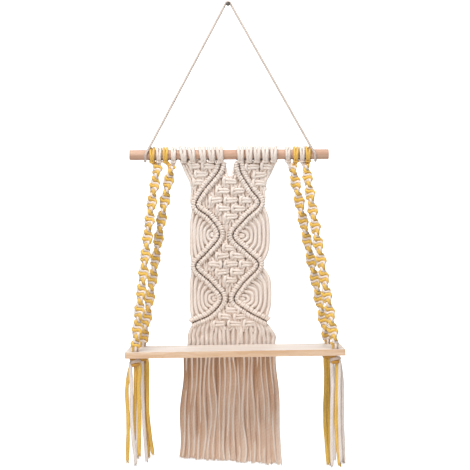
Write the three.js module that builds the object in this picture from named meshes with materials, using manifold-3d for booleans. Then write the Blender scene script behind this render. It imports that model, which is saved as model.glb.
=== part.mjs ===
// Macrame wall shelf: a knotted cotton panel on a wooden dowel, four spiral-knotted arms that carry
// a shelf board, and a cord that hangs the dowel from a nail.
// Millimetres, +X to the viewer's right, +Y into the wall, +Z up. The origin is on the wall, at the
// centre of the nail's wall end.

import * as THREE from 'three';
import { mergeVertices } from 'three/addons/utils/BufferGeometryUtils.js';
import Module from 'manifold-3d';

const wasm = await Module();
wasm.setup();

const FIT_GAP = 0.35;
const radians = THREE.MathUtils.degToRad;
const lerp = THREE.MathUtils.lerp;

const NAIL = {
  shankRadius: 1.3,
  headRadius: 3.2,
  frontRadius: 2.9,
  headThickness: 1.2,
  length: 17,
  facets: 16,
};
const DOWEL = { radius: 7.5, length: 298.5, centreX: 1.6, y: -14, z: -226, roll: radians(0.3), facets: 24 };
const BOARD = {
  length: 312,
  depth: 122,
  thickness: 9,
  centreX: 10.7,
  backY: -22.5,
  topZ: -510.2,
  roll: radians(0.85),
  cornerRadius: 2,
  holeRadius: 6,
  holeFacets: 12,
  holeInset: 12,
  frontHoleX: 142,
  backHoleX: 137,
};

// The rope that hangs the dowel from the nail.
const HANGER = {
  radius: 1.75,
  sides: 8,
  stepsPerPoint: 2,
  nailY: -11,
  leftX: -123,
  rightX: 130,
  wrapPitch: 4.4,
  wrapTurns: 0.85,
  wrapPointsPerTurn: 9,
};

// The panel's cotton cord, and where its middle plane lies.
const PANEL = { y: -15.5, cordRadius: 2.5, looseRadius: 2.8, bottomZ: -514, cordSides: 4 };

// Each loop over the dowel is a lark's head: two strands and the bar that locks them. x is its middle.
const PANEL_HEADS_X = [
  [-66.9, -53.9, -37.8, -24.6, -12],
  [18.7, 31.6, 43.4, 55.7, 68.5],
];
const LARK = {
  strandPitch: 4.9,
  startAngle: -55,
  endAngle: 235,
  steps: 6,
  clearance: 1.1,
  barLength: 1.6,
  barRadius: 3.2,
  barSides: 5,
  barDrop: 3.4,
  barForward: 5.2,
};

// The two double bars of hitches run down the panel in waves. Rows follow the dark line between the
// two bars of a wave from the dowel down.
const WAVES = {
  left: [
    { x: -10, z: -237 },
    { x: -13.5, z: -250 },
    { x: -38.6, z: -282.5 },
    { x: -47.9, z: -302.7 },
    { x: -26.5, z: -321.5 },
    { x: -12.5, z: -346.4 },
    { x: -30.9, z: -372 },
    { x: -48.5, z: -393.6 },
    { x: -24.3, z: -419 },
    { x: -8.6, z: -441.5 },
    { x: -24.5, z: -464 },
    { x: -54, z: -478.6 },
  ],
  right: [
    { x: 16.4, z: -239 },
    { x: 19.5, z: -253 },
    { x: 35.5, z: -279.5 },
    { x: 47.9, z: -298.5 },
    { x: 25.2, z: -322.8 },
    { x: 7.2, z: -348 },
    { x: 27.8, z: -370.8 },
    { x: 46.2, z: -390.8 },
    { x: 21.9, z: -420.2 },
    { x: 9.2, z: -443.5 },
    { x: 28.5, z: -460 },
    { x: 58.5, z: -476 },
  ],
};

// The rows of both tables where a wave starts below the dowel, and where it turns back.
const TURNS = { start: 1, outer: [3, 7, 11], inner: [5, 9] };
const RIB = { offset: 4.4, halfWidth: 4.1, halfDepth: 4.9, waist: 2.6, ringPitch: 7, groove: 0.87 };

// The close web of cords that the knots stand on. The pairs from the lark's heads go into its top, and
// the outermost pair goes round its edge to just above the first outer turn.
const WEB = {
  thickness: 4,
  cornerTopZ: -242,
  edgeX: 52,
  edgeZ: -270,
  edgeRow: 2.85,
  pairDepth: 3,
  pairInwards: 0.97,
};

// Square knots, a row to each line of knots: the middle of the line, its height and how many. The
// front of a knot has two bars, one above the other.
const KNOT = {
  pitch: 22.6,
  halfWidth: 11.4,
  shoulder: 5.1,
  halfHeight: 6.3,
  barZ: 3.8,
  back: 2.6,
  front: 3,
  groove: 0.8,
  bulge: 2.4,
  endBulge: 0.8,
  endScale: 0.7,
};
const KNOT_ROWS = [
  { x: -41.5, z: -243.5, count: 2 },
  { x: -41, z: -255.5, count: 1 },
  { x: -45, z: -267.5, count: 1 },
  { x: 47, z: -244.5, count: 2 },
  { x: 47, z: -256.5, count: 1 },
  { x: 46.5, z: -268.5, count: 1 },
  { x: 2, z: -266, count: 1 },
  { x: 3, z: -280.5, count: 2 },
  { x: 3.8, z: -294.5, count: 3 },
  { x: 3.8, z: -307, count: 2 },
  { x: 3.8, z: -319, count: 1 },
  { x: 1, z: -366, count: 1 },
  { x: 2.4, z: -377.5, count: 2 },
  { x: 3.9, z: -390, count: 3 },
  { x: 2, z: -401.8, count: 2 },
  { x: 3, z: -413.8, count: 1 },
  { x: 7.5, z: -459, count: 1 },
  { x: 6.5, z: -468.5, count: 2 },
  { x: 9.5, z: -479, count: 3 },
];

// Loose cords that bow out between two outer turns: the outermost and innermost cord's middle.
const BAYS = [
  { wave: 'left', bay: 0, outerX: -54.8, innerX: -25.5 },
  { wave: 'left', bay: 1, outerX: -55, innerX: -22.5 },
  { wave: 'right', bay: 0, outerX: 60, innerX: 23.5 },
  { wave: 'right', bay: 1, outerX: 62.5, innerX: 24.5 },
];
const BAY = {
  cords: 7,
  firstShare: 0.057,
  lastShare: 0.914,
  bow: [
    { height: 0.22, full: 0.86 },
    { height: 0.5, full: 1 },
    { height: 0.78, full: 0.86 },
  ],
};

// Cords that show between a line of knots and an outer turn, as shares of the way round it.
const TURN_CORDS = [0.08, 0.22];

// Cords that fan out from the last ribs down to the fringe, from each wave.
const LOWER = { cords: 10, lastRow: 9.2, fanDrop: 13, fanShare: 0.85 };

const FRINGE = {
  cords: 20,
  radius: 2.9,
  sides: 4,
  topX: [-65, 69.5],
  bottomX: [-69, 77],
  bottomZ: [-684, -694],
  steps: 4,
  sway: 1.1,
  sidewaysShare: 0.4,
  phasePerCord: 2.4,
  phasePerStep: 1.3,
  rootDepth: 2,
  stripTop: -514.4,
  stripHeight: 6.5,
  stripDepth: 5,
};

// Arms: two pairs of cord over the dowel, a spiral of half knots, and a plain end through the board.
const ARM = {
  cordRadius: 2,
  pairPitch: 3.9,
  halfWidth: 6.3,
  halfThickness: 3.7,
  sides: 6,
  ringPitch: 7,
  groove: 0.93,
  axisForward: 4,
  tailHalfWidth: 3.8,
  tailHalfDepth: 2.6,
  tailDrop: 4,
  tailForward: 1,
  tailEnd: 6,
  neckRadius: 4.3,
  neckRise: 4,
  neckBottom: 0.1,
  topZ: -246,
  bottomRise: 7,
};
const ARMS = [
  { name: 'front_left', pairsX: [-113.4, -103.4], side: -1, hole: 'front', halfTurn: 25.5 },
  { name: 'back_left', pairsX: [-93.6, -81.5], side: -1, hole: 'back', halfTurn: 28.3 },
  { name: 'back_right', pairsX: [89.6, 101.6], side: 1, hole: 'back', halfTurn: 28.3 },
  { name: 'front_right', pairsX: [111, 119.7], side: 1, hole: 'front', halfTurn: 25.5 },
];

// Tassels: a knot under the board and four loose cord ends. Each end lies at its own depth, dy, and
// its shoulder, middle and tip are so far to the side of the hole.
const TASSEL = {
  headRadius: 7.8,
  headHeight: 12,
  headFacets: 8,
  cordRadius: 2.4,
  cordSides: 4,
  steps: 4,
  rootReach: 3,
  rootDepthShare: 0.5,
  shoulderDrop: 28,
  middleHeight: 0.6,
};

// The knot's outline from its bottom up, as shares of its radius and its height.
const KNOT_PROFILE = [
  { radius: 0.62, height: 1 },
  { radius: 0.92, height: 0.78 },
  { radius: 0.8, height: 0.52 },
  { radius: 1, height: 0.26 },
  { radius: 0.85, height: 0 },
];
const TASSELS = {
  front_left: [
    { dy: -2, shoulder: -11.5, middle: -9.8, tip: -11, bottomZ: -671 },
    { dy: -4, shoulder: -5.1, middle: -4.5, tip: 1.4, bottomZ: -674.6 },
    { dy: 4, shoulder: 0.3, middle: -1.2, tip: -2.2, bottomZ: -645 },
    { dy: -1, shoulder: 5.3, middle: 6.7, tip: 5.5, bottomZ: -661.7 },
  ],
  back_left: [
    { dy: -1, shoulder: 7, middle: 7.8, tip: 14.6, bottomZ: -674.8 },
    { dy: -3, shoulder: -0.6, middle: 1.6, tip: 6, bottomZ: -684.7 },
    { dy: -1.5, shoulder: -6, middle: -8, tip: -7, bottomZ: -680 },
    { dy: 4, shoulder: -2.5, middle: -3, tip: -3, bottomZ: -672 },
  ],
  back_right: [
    { dy: -3, shoulder: -2.6, middle: -3.5, tip: 0.7, bottomZ: -689 },
    { dy: 0.5, shoulder: 1.1, middle: 0.6, tip: 3.2, bottomZ: -688 },
    { dy: 2, shoulder: 6.5, middle: 5.5, tip: 6.5, bottomZ: -690 },
    { dy: -1, shoulder: 10, middle: 10, tip: 10.5, bottomZ: -683 },
  ],
  front_right: [
    { dy: -3, shoulder: -3.9, middle: -4.9, tip: -4.3, bottomZ: -676.6 },
    { dy: -1, shoulder: 2.2, middle: 0.6, tip: 6.1, bottomZ: -676.6 },
    { dy: -3.5, shoulder: 5.8, middle: 5.6, tip: 8.4, bottomZ: -671.6 },
    { dy: 1, shoulder: 10.2, middle: 11, tip: 12.7, bottomZ: -671.6 },
  ],
};

const MATERIALS = {
  naturalCord: { color: 0xeee5da, roughness: 0.95, metalness: 0 },
  armCord: { color: 0xf0c255, roughness: 0.95, metalness: 0 },
  hangerCord: { color: 0xe6dccd, roughness: 0.95, metalness: 0 },
  dowelWood: { color: 0xc99a80, roughness: 0.6, metalness: 0 },
  boardWood: { color: 0xe9cfae, roughness: 0.6, metalness: 0 },
  nailMetal: { color: 0x4a4441, roughness: 0.4, metalness: 1 },
};

const shelf = new THREE.Group();
const X_AXIS = new THREE.Vector3(1, 0, 0);
const Y_AXIS = new THREE.Vector3(0, 1, 0);

function point(x, y, z) {
  return new THREE.Vector3(x, y, z);
}

function addMesh(name, geometry, materialName) {
  const mesh = new THREE.Mesh(geometry, new THREE.MeshStandardMaterial(MATERIALS[materialName]));
  mesh.name = name;
  shelf.add(mesh);
  return mesh;
}

function ovalShape(halfX, halfY, sides) {
  const corners = [];
  for (let i = 0; i < sides; i += 1) {
    const angle = (2 * Math.PI * (i + 0.5)) / sides;
    corners.push(new THREE.Vector2(halfX * Math.cos(angle), halfY * Math.sin(angle)));
  }
  return new THREE.Shape(corners);
}

// A bar of the given section is extruded straight, and its rings are then carried along the curve.
// across is the direction that the section's own X keeps to. With follow set, the section turns with
// the curve from there on, and its rings are spaced as the curve's points are.
function sweep(curve, section, steps, options = {}) {
  const { across, follow = false, scaleAt = () => 1, twistAt = () => 0 } = options;
  const geometry = new THREE.ExtrudeGeometry(section, { depth: 1, steps, bevelEnabled: false });
  const rings = [];
  const heading = across.clone();
  for (let i = 0; i <= steps; i += 1) {
    const t = i / steps;
    const centre = follow ? curve.getPoint(t) : curve.getPointAt(t);
    const tangent = follow ? curve.getTangent(t) : curve.getTangentAt(t);
    const sectionX = heading.clone().addScaledVector(tangent, -tangent.dot(heading)).normalize();
    if (follow) {
      heading.copy(sectionX);
    }
    sectionX.applyAxisAngle(tangent, twistAt(t));
    const sectionY = new THREE.Vector3().crossVectors(tangent, sectionX);
    rings.push({ centre, sectionX, sectionY, scale: scaleAt(t, i) });
  }
  const position = geometry.attributes.position;
  const placed = new THREE.Vector3();
  for (let i = 0; i < position.count; i += 1) {
    const ring = rings[Math.round(position.getZ(i) * steps)];
    placed.copy(ring.centre);
    placed.addScaledVector(ring.sectionX, position.getX(i) * ring.scale);
    placed.addScaledVector(ring.sectionY, position.getY(i) * ring.scale);
    position.setXYZ(i, placed.x, placed.y, placed.z);
  }
  return geometry;
}

function smooth(points) {
  return new THREE.CatmullRomCurve3(points, false, 'centripetal');
}

function toSolid(geometry) {
  const bare = geometry.clone();
  bare.deleteAttribute('normal');
  bare.deleteAttribute('uv');
  const merged = mergeVertices(bare, 1e-4);
  const vertProperties = new Float32Array(merged.attributes.position.array);
  const triVerts = new Uint32Array(merged.index.array);
  return new wasm.Manifold(new wasm.Mesh({ numProp: 3, vertProperties, triVerts }));
}

// The pieces as one body. Where strands press together they can close off a small hollow between
// them: the outer skin is kept, which leaves such a hollow filled.
function joined(geometries) {
  const whole = geometries.map(toSolid).reduce((sum, piece) => sum.add(piece));
  const skins = whole.decompose().sort((a, b) => b.volume() - a.volume());
  if (skins.slice(1).some((skin) => skin.volume() > 0)) {
    throw new Error('a piece is not joined to its neighbours');
  }
  return skins[0];
}

function toGeometry(solid) {
  const mesh = solid.getMesh();
  const geometry = new THREE.BufferGeometry();
  geometry.setAttribute('position', new THREE.Float32BufferAttribute(mesh.vertProperties, 3));
  geometry.setIndex(new THREE.Uint32BufferAttribute(mesh.triVerts, 1));
  geometry.computeVertexNormals();
  return geometry;
}

function dowelZ(x) {
  return DOWEL.z + (x - DOWEL.centreX) * Math.tan(DOWEL.roll);
}

function boardTopZ(x) {
  return BOARD.topZ + (x - BOARD.centreX) * Math.tan(BOARD.roll);
}

function boardBottomZ(x) {
  return boardTopZ(x) - BOARD.thickness / Math.cos(BOARD.roll);
}

function buildNail() {
  const profile = [
    new THREE.Vector2(0, 0),
    new THREE.Vector2(NAIL.shankRadius, 0),
    new THREE.Vector2(NAIL.shankRadius, NAIL.length - NAIL.headThickness),
    new THREE.Vector2(NAIL.headRadius, NAIL.length - NAIL.headThickness),
    new THREE.Vector2(NAIL.frontRadius, NAIL.length),
    new THREE.Vector2(0, NAIL.length),
  ];
  const nail = addMesh('wall_nail', new THREE.LatheGeometry(profile, NAIL.facets), 'nailMetal');
  nail.rotation.x = Math.PI;
  return nail;
}

function buildDowel() {
  const geometry = new THREE.CylinderGeometry(DOWEL.radius, DOWEL.radius, DOWEL.length, DOWEL.facets);
  const dowel = addMesh('dowel', geometry, 'dowelWood');
  dowel.rotation.z = -Math.PI / 2 + DOWEL.roll;
  const level = new THREE.Group();
  level.rotation.x = Math.PI / 2;
  level.position.set(DOWEL.centreX, DOWEL.y, DOWEL.z);
  level.add(dowel);
  shelf.add(level);
}

// The hitch at one end: the cord comes down in front of the dowel, goes under it and up behind.
function hitchPoints(frontX, side) {
  const radius = DOWEL.radius + FIT_GAP + HANGER.radius;
  const count = Math.round(HANGER.wrapTurns * HANGER.wrapPointsPerTurn);
  const points = [];
  for (let i = 0; i <= count; i += 1) {
    const turn = i / HANGER.wrapPointsPerTurn;
    const angle = Math.PI + 2 * Math.PI * turn;
    const x = frontX + side * HANGER.wrapPitch * turn;
    points.push(point(x, DOWEL.y + radius * Math.cos(angle), dowelZ(x) + radius * Math.sin(angle)));
  }
  return points;
}

function hangerRoute() {
  const turnRadius = NAIL.shankRadius + FIT_GAP + HANGER.radius;
  const left = hitchPoints(HANGER.leftX, -1);
  const right = hitchPoints(HANGER.rightX, 1);
  const overNail = [
    point(-0.9 * turnRadius, HANGER.nailY, 0.5 * turnRadius),
    point(-0.45 * turnRadius, HANGER.nailY, 0.92 * turnRadius),
    point(0.45 * turnRadius, HANGER.nailY, 0.92 * turnRadius),
    point(0.9 * turnRadius, HANGER.nailY, 0.5 * turnRadius),
  ];
  const straight = (from, to) => [0.06, 0.3, 0.55, 0.8, 0.96].map((t) => from.clone().lerp(to, t));
  return [
    ...left.slice().reverse(),
    ...straight(left[0], overNail[0]),
    ...overNail,
    ...straight(overNail[3], right[0]),
    ...right,
  ];
}

function buildHanger() {
  const section = ovalShape(HANGER.radius, HANGER.radius, HANGER.sides);
  const route = hangerRoute();
  const steps = (route.length - 1) * HANGER.stepsPerPoint;
  const rope = sweep(smooth(route), section, steps, { across: X_AXIS, follow: true });
  addMesh('hanging_cord', rope, 'hangerCord');
}

// Two cords, or two bars, side by side, with a waist between them.
function pairShape(halfPitch, halfWidth, halfDepth, waist) {
  const corners = [
    [-halfPitch - halfWidth, 0],
    [-halfPitch, -halfDepth],
    [0, -waist],
    [halfPitch, -halfDepth],
    [halfPitch + halfWidth, 0],
    [halfPitch, halfDepth],
    [0, waist],
    [-halfPitch, halfDepth],
  ];
  return new THREE.Shape(corners.map(([x, y]) => new THREE.Vector2(x, y)));
}

function cordPair(pitch, radius) {
  return pairShape(pitch / 2, radius, radius, 0.4 * radius);
}

// Two strands go from under the dowel's front, over its top and down behind, and a bar locks them.
function larksHead(x, strandPitch, cordRadius) {
  const radius = DOWEL.radius + LARK.clearance + cordRadius;
  const points = [];
  for (let i = 0; i <= LARK.steps; i += 1) {
    const angle = radians(lerp(LARK.startAngle, LARK.endAngle, i / LARK.steps));
    points.push(point(x, DOWEL.y - radius * Math.cos(angle), dowelZ(x) + radius * Math.sin(angle)));
  }
  const barZ = dowelZ(x) - DOWEL.radius - LARK.barDrop;
  const barY = DOWEL.y - LARK.barForward;
  const halfBar = (strandPitch * LARK.barLength) / 2;
  const bar = new THREE.LineCurve3(point(x - halfBar, barY, barZ), point(x + halfBar, barY, barZ));
  return [
    sweep(smooth(points), cordPair(strandPitch, cordRadius), LARK.steps, { across: X_AXIS }),
    sweep(bar, ovalShape(LARK.barRadius, LARK.barRadius, LARK.barSides), 1, { across: Y_AXIS }),
  ];
}

function waveCurve(name) {
  return smooth(WAVES[name].map((row) => point(row.x, PANEL.y, row.z)));
}

// A point beside the wave's middle line. row may fall between two rows of its table.
function besideWave(name, row, offset) {
  const curve = waveCurve(name);
  const t = row / (WAVES[name].length - 1);
  const tangent = curve.getTangent(t);
  const side = new THREE.Vector3(tangent.z, 0, -tangent.x);
  return curve.getPoint(t).addScaledVector(side, offset);
}

// The side of a wave that faces the panel's edge is outwards, for both waves.
function outwards(name, offset) {
  return name === 'left' ? offset : -offset;
}

// The two bars of a wave, side by side.
function doubleRib(name) {
  const curve = waveCurve(name);
  const steps = Math.round(curve.getLength() / RIB.ringPitch);
  const section = pairShape(RIB.offset, RIB.halfWidth, RIB.halfDepth, RIB.waist);
  const scaleAt = (t, ring) => (ring % 2 ? RIB.groove : 1);
  return sweep(curve, section, steps, { across: X_AXIS, scaleAt });
}

function strand(points, steps) {
  const section = ovalShape(PANEL.looseRadius, PANEL.looseRadius, PANEL.cordSides);
  return sweep(smooth(points), section, steps, { across: Y_AXIS });
}

// The two cords of each lark's head go down into the web, and the outermost pair on to the rib's turn.
function topPairs(name, headsX) {
  const fromEdge = name === 'left' ? headsX : headsX.slice().reverse();
  const section = cordPair(LARK.strandPitch, PANEL.cordRadius);
  return fromEdge.map((x, order) => {
    const start = point(x, PANEL.y, dowelZ(x) - DOWEL.radius - WEB.pairDepth);
    const end = point(x * WEB.pairInwards, PANEL.y, WEB.cornerTopZ - WEB.pairDepth);
    if (order > 0) {
      return sweep(new THREE.LineCurve3(start, end), section, 1, { across: X_AXIS });
    }
    const side = Math.sign(x);
    const waist = point(side * WEB.edgeX, PANEL.y, WEB.edgeZ);
    const turn = besideWave(name, WEB.edgeRow, outwards(name, RIB.offset));
    return sweep(smooth([start, waist, turn]), section, 3, { across: X_AXIS });
  });
}

// The cords that show between the outermost knots and a turn of the ribs.
function turnStrands(name) {
  return TURNS.inner.flatMap((bottom, i) => {
    const outer = TURNS.outer[i];
    const top = i === 0 ? TURNS.start : TURNS.inner[i - 1];
    return TURN_CORDS.map((share) => {
      const from = besideWave(name, lerp(outer, top, share), outwards(name, -RIB.offset));
      const to = besideWave(name, lerp(outer, bottom, share), outwards(name, -RIB.offset));
      return strand([from, to], 1);
    });
  });
}

function webPlate(outline) {
  const shape = new THREE.Shape(outline.map(({ x, z }) => new THREE.Vector2(x, z)));
  const plate = new THREE.ExtrudeGeometry(shape, { depth: WEB.thickness, bevelEnabled: false });
  plate.rotateX(Math.PI / 2);
  plate.translate(0, PANEL.y + WEB.thickness / 2, 0);
  return plate;
}

function ribLine(name, firstRow, lastRow, offset) {
  const line = [];
  const count = Math.abs(lastRow - firstRow);
  for (let i = 0; i <= count; i += 1) {
    line.push(besideWave(name, lerp(firstRow, lastRow, i / count), outwards(name, offset)));
  }
  return line;
}

// Between the two waves, from the dowel's gap down to the last line of knots.
function middleWeb() {
  const lastRow = TURNS.outer.at(-1);
  const left = ribLine('left', TURNS.start, lastRow, -RIB.offset);
  const right = ribLine('right', lastRow, TURNS.start, -RIB.offset);
  return webPlate([...left, ...right]);
}

// Between the lark's heads of one side and its first rib.
function cornerWeb(name, headsX) {
  const side = name === 'left' ? -1 : 1;
  const rib = ribLine(name, TURNS.outer[0], 0, RIB.offset);
  const headX = side * Math.max(...headsX.map(Math.abs));
  const corner = [point(headX, 0, WEB.cornerTopZ), point(side * WEB.edgeX, 0, WEB.edgeZ)];
  return webPlate([...rib, ...corner]);
}

function bayStrands({ wave, bay, outerX, innerX }) {
  const strands = [];
  const offset = outwards(wave, RIB.offset);
  const inner = TURNS.inner[bay];
  for (let i = 0; i < BAY.cords; i += 1) {
    const order = i / (BAY.cords - 1);
    const share = lerp(BAY.firstShare, BAY.lastShare, order);
    const from = besideWave(wave, lerp(TURNS.outer[bay], inner, share), offset);
    const to = besideWave(wave, lerp(TURNS.outer[bay + 1], inner, share), offset);
    const bowedX = lerp(outerX, innerX, order);
    const bowed = BAY.bow.map(({ height, full }) => {
      const straightX = lerp(from.x, to.x, height);
      return point(lerp(straightX, bowedX, full), PANEL.y, lerp(from.z, to.z, height));
    });
    strands.push(strand([from, ...bowed, to], BAY.bow.length + 1));
  }
  return strands;
}

function fringeTopX(index) {
  return lerp(FRINGE.topX[0], FRINGE.topX[1], index / (FRINGE.cords - 1));
}

// Cords from the last ribs down to the fringe.
function lowerStrands(name) {
  const strands = [];
  for (let i = 0; i < LOWER.cords; i += 1) {
    const row = lerp(TURNS.outer.at(-1), LOWER.lastRow, i / (LOWER.cords - 1));
    const start = besideWave(name, row, outwards(name, -RIB.offset));
    const index = name === 'left' ? i : FRINGE.cords - 1 - i;
    const x = fringeTopX(index);
    const fanned = point(lerp(start.x, x, LOWER.fanShare), PANEL.y, start.z - LOWER.fanDrop);
    strands.push(strand([start, fanned, point(x, PANEL.y, PANEL.bottomZ)], 2));
  }
  return strands;
}

function knotShape() {
  const { halfHeight, barZ, back, front, groove } = KNOT;
  const corners = [
    [back, -halfHeight],
    [back, halfHeight],
    [-front, barZ],
    [-groove, 0],
    [-front, -barZ],
  ];
  return new THREE.Shape(corners.map(([y, z]) => new THREE.Vector2(y, z)));
}

function squareKnot(x, z) {
  const path = smooth([
    point(x - KNOT.halfWidth, PANEL.y - KNOT.endBulge, z),
    point(x - KNOT.shoulder, PANEL.y - KNOT.bulge, z),
    point(x + KNOT.shoulder, PANEL.y - KNOT.bulge, z),
    point(x + KNOT.halfWidth, PANEL.y - KNOT.endBulge, z),
  ]);
  const scaleAt = (t) => (t === 0 || t === 1 ? KNOT.endScale : 1);
  return sweep(path, knotShape(), 3, { across: Y_AXIS, scaleAt });
}

function knotRow({ x, z, count }) {
  const knots = [];
  for (let i = 0; i < count; i += 1) {
    knots.push(squareKnot(x + (i - (count - 1) / 2) * KNOT.pitch, z));
  }
  return knots;
}

function buildPanel() {
  const heads = PANEL_HEADS_X.flat().flatMap((x) => larksHead(x, LARK.strandPitch, PANEL.cordRadius));
  const sides = ['left', 'right'].flatMap((name, i) => [
    doubleRib(name),
    cornerWeb(name, PANEL_HEADS_X[i]),
    ...topPairs(name, PANEL_HEADS_X[i]),
    ...turnStrands(name),
    ...lowerStrands(name),
  ]);
  const panel = joined([
    middleWeb(),
    ...heads,
    ...sides,
    ...BAYS.flatMap(bayStrands),
    ...KNOT_ROWS.flatMap(knotRow),
  ]);
  addMesh('macrame_panel', toGeometry(panel), 'naturalCord');
}

function buildFringe() {
  const width = FRINGE.topX[1] - FRINGE.topX[0] + 2 * FRINGE.radius;
  const strip = new THREE.BoxGeometry(width, FRINGE.stripDepth, FRINGE.stripHeight);
  const middleX = (FRINGE.topX[0] + FRINGE.topX[1]) / 2;
  strip.translate(middleX, PANEL.y, FRINGE.stripTop - FRINGE.stripHeight / 2);
  const pieces = [strip];
  for (let i = 0; i < FRINGE.cords; i += 1) {
    const share = i / (FRINGE.cords - 1);
    const topX = fringeTopX(i);
    const bottom = point(lerp(...FRINGE.bottomX, share), PANEL.y, lerp(...FRINGE.bottomZ, share));
    const start = point(topX, PANEL.y, FRINGE.stripTop - FRINGE.stripHeight + FRINGE.rootDepth);
    const path = [start];
    for (let k = 1; k < FRINGE.steps; k += 1) {
      const along = start.clone().lerp(bottom, k / FRINGE.steps);
      const sway = FRINGE.sway * Math.sin(i * FRINGE.phasePerCord + k * FRINGE.phasePerStep);
      along.x += sway * FRINGE.sidewaysShare;
      along.y += sway;
      path.push(along);
    }
    path.push(bottom);
    const section = ovalShape(FRINGE.radius, FRINGE.radius, FRINGE.sides);
    pieces.push(sweep(smooth(path), section, FRINGE.steps, { across: Y_AXIS }));
  }
  addMesh('panel_fringe', toGeometry(joined(pieces)), 'naturalCord');
}

function holePlace({ side, hole }) {
  const offset = hole === 'front' ? BOARD.frontHoleX : BOARD.backHoleX;
  const x = BOARD.centreX + side * offset;
  const y = hole === 'front' ? BOARD.backY - BOARD.depth + BOARD.holeInset : BOARD.backY - BOARD.holeInset;
  return { x, y };
}

function buildArm(arm) {
  const { x: holeX, y: holeY } = holePlace(arm);
  const topX = (arm.pairsX[0] + arm.pairsX[1]) / 2;
  const start = point(topX, DOWEL.y - ARM.axisForward, ARM.topZ);
  const end = point(holeX, holeY, boardTopZ(holeX) + ARM.bottomRise);
  const axis = new THREE.LineCurve3(start, end);
  const length = axis.getLength();
  const steps = Math.round(length / ARM.ringPitch);
  const spiral = sweep(axis, ovalShape(ARM.halfWidth, ARM.halfThickness, ARM.sides), steps, {
    across: X_AXIS,
    twistAt: (t) => (Math.PI * t * length) / arm.halfTurn,
    scaleAt: (t, ring) => (ring % 2 ? ARM.groove : 1),
  });
  const tailSection = ovalShape(ARM.tailHalfWidth, ARM.tailHalfDepth, ARM.sides);
  const tailEnd = start.clone().setZ(start.z - ARM.tailEnd);
  const tails = arm.pairsX.map((x) => {
    const tailStart = point(x, DOWEL.y - ARM.tailForward, dowelZ(x) - DOWEL.radius - ARM.tailDrop);
    return sweep(new THREE.LineCurve3(tailStart, tailEnd), tailSection, 1, { across: X_AXIS });
  });
  const neckTop = point(holeX, holeY, boardTopZ(holeX) + ARM.neckRise);
  const neckBottom = point(holeX, holeY, boardBottomZ(holeX) + ARM.neckBottom);
  const neckSection = ovalShape(ARM.neckRadius, ARM.neckRadius, ARM.sides);
  const neck = sweep(smooth([end, neckTop, neckBottom]), neckSection, 2, { across: X_AXIS });
  const heads = arm.pairsX.flatMap((x) => larksHead(x, ARM.pairPitch, ARM.cordRadius));
  addMesh(`arm_${arm.name}`, toGeometry(joined([...heads, ...tails, spiral, neck])), 'armCord');
}

function buildTassel(arm) {
  const { x, y } = holePlace(arm);
  const topZ = boardBottomZ(x) - FIT_GAP;
  const { headRadius, headHeight } = TASSEL;
  const profile = [
    new THREE.Vector2(0, -headHeight),
    ...KNOT_PROFILE.map(({ radius, height }) => new THREE.Vector2(headRadius * radius, -headHeight * height)),
    new THREE.Vector2(0, 0),
  ];
  const head = new THREE.LatheGeometry(profile, TASSEL.headFacets);
  head.rotateX(Math.PI / 2);
  head.translate(x, y, topZ);
  const cords = TASSELS[arm.name].map(({ dy, shoulder, middle, tip, bottomZ }) => {
    const root = Math.sign(shoulder) * Math.min(Math.abs(shoulder), TASSEL.rootReach);
    const path = smooth([
      point(x + root, y + dy * TASSEL.rootDepthShare, topZ - headHeight + TASSEL.rootReach),
      point(x + shoulder, y + dy, topZ - headHeight - TASSEL.shoulderDrop),
      point(x + middle, y + dy, lerp(topZ, bottomZ, TASSEL.middleHeight)),
      point(x + tip, y + dy, bottomZ),
    ]);
    const section = ovalShape(TASSEL.cordRadius, TASSEL.cordRadius, TASSEL.cordSides);
    return sweep(path, section, TASSEL.steps, { across: Y_AXIS });
  });
  addMesh(`tassel_${arm.name}`, toGeometry(joined([head, ...cords])), 'armCord');
}

function buildBoard() {
  const halfLength = BOARD.length / 2;
  const halfDepth = BOARD.depth / 2;
  const r = BOARD.cornerRadius;
  const outline = new THREE.Shape();
  outline.moveTo(-halfLength + r, -halfDepth);
  outline.lineTo(halfLength - r, -halfDepth);
  outline.absarc(halfLength - r, -halfDepth + r, r, -Math.PI / 2, 0, false);
  outline.lineTo(halfLength, halfDepth - r);
  outline.absarc(halfLength - r, halfDepth - r, r, 0, Math.PI / 2, false);
  outline.lineTo(-halfLength + r, halfDepth);
  outline.absarc(-halfLength + r, halfDepth - r, r, Math.PI / 2, Math.PI, false);
  outline.lineTo(-halfLength, -halfDepth + r);
  outline.absarc(-halfLength + r, -halfDepth + r, r, Math.PI, 1.5 * Math.PI, false);
  const middleY = BOARD.backY - halfDepth;
  for (const arm of ARMS) {
    const { x, y } = holePlace(arm);
    const hole = new THREE.Path();
    for (let i = 0; i <= BOARD.holeFacets; i += 1) {
      const angle = (-2 * Math.PI * i) / BOARD.holeFacets;
      const cornerX = (x - BOARD.centreX) / Math.cos(BOARD.roll) + BOARD.holeRadius * Math.cos(angle);
      const cornerY = y - middleY + BOARD.holeRadius * Math.sin(angle);
      if (i === 0) {
        hole.moveTo(cornerX, cornerY);
      } else if (i < BOARD.holeFacets) {
        hole.lineTo(cornerX, cornerY);
      }
    }
    hole.closePath();
    outline.holes.push(hole);
  }
  const geometry = new THREE.ExtrudeGeometry(outline, {
    depth: BOARD.thickness,
    bevelEnabled: false,
    curveSegments: 3,
  });
  geometry.translate(0, 0, -BOARD.thickness);
  const board = addMesh('shelf_board', geometry, 'boardWood');
  board.position.set(BOARD.centreX, middleY, BOARD.topZ);
  board.rotation.y = -BOARD.roll;
}

buildNail();
buildHanger();
buildDowel();
buildPanel();
buildFringe();
buildBoard();
for (const arm of ARMS) {
  buildArm(arm);
  buildTassel(arm);
}

export default shelf;
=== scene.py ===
import math
import random

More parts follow.
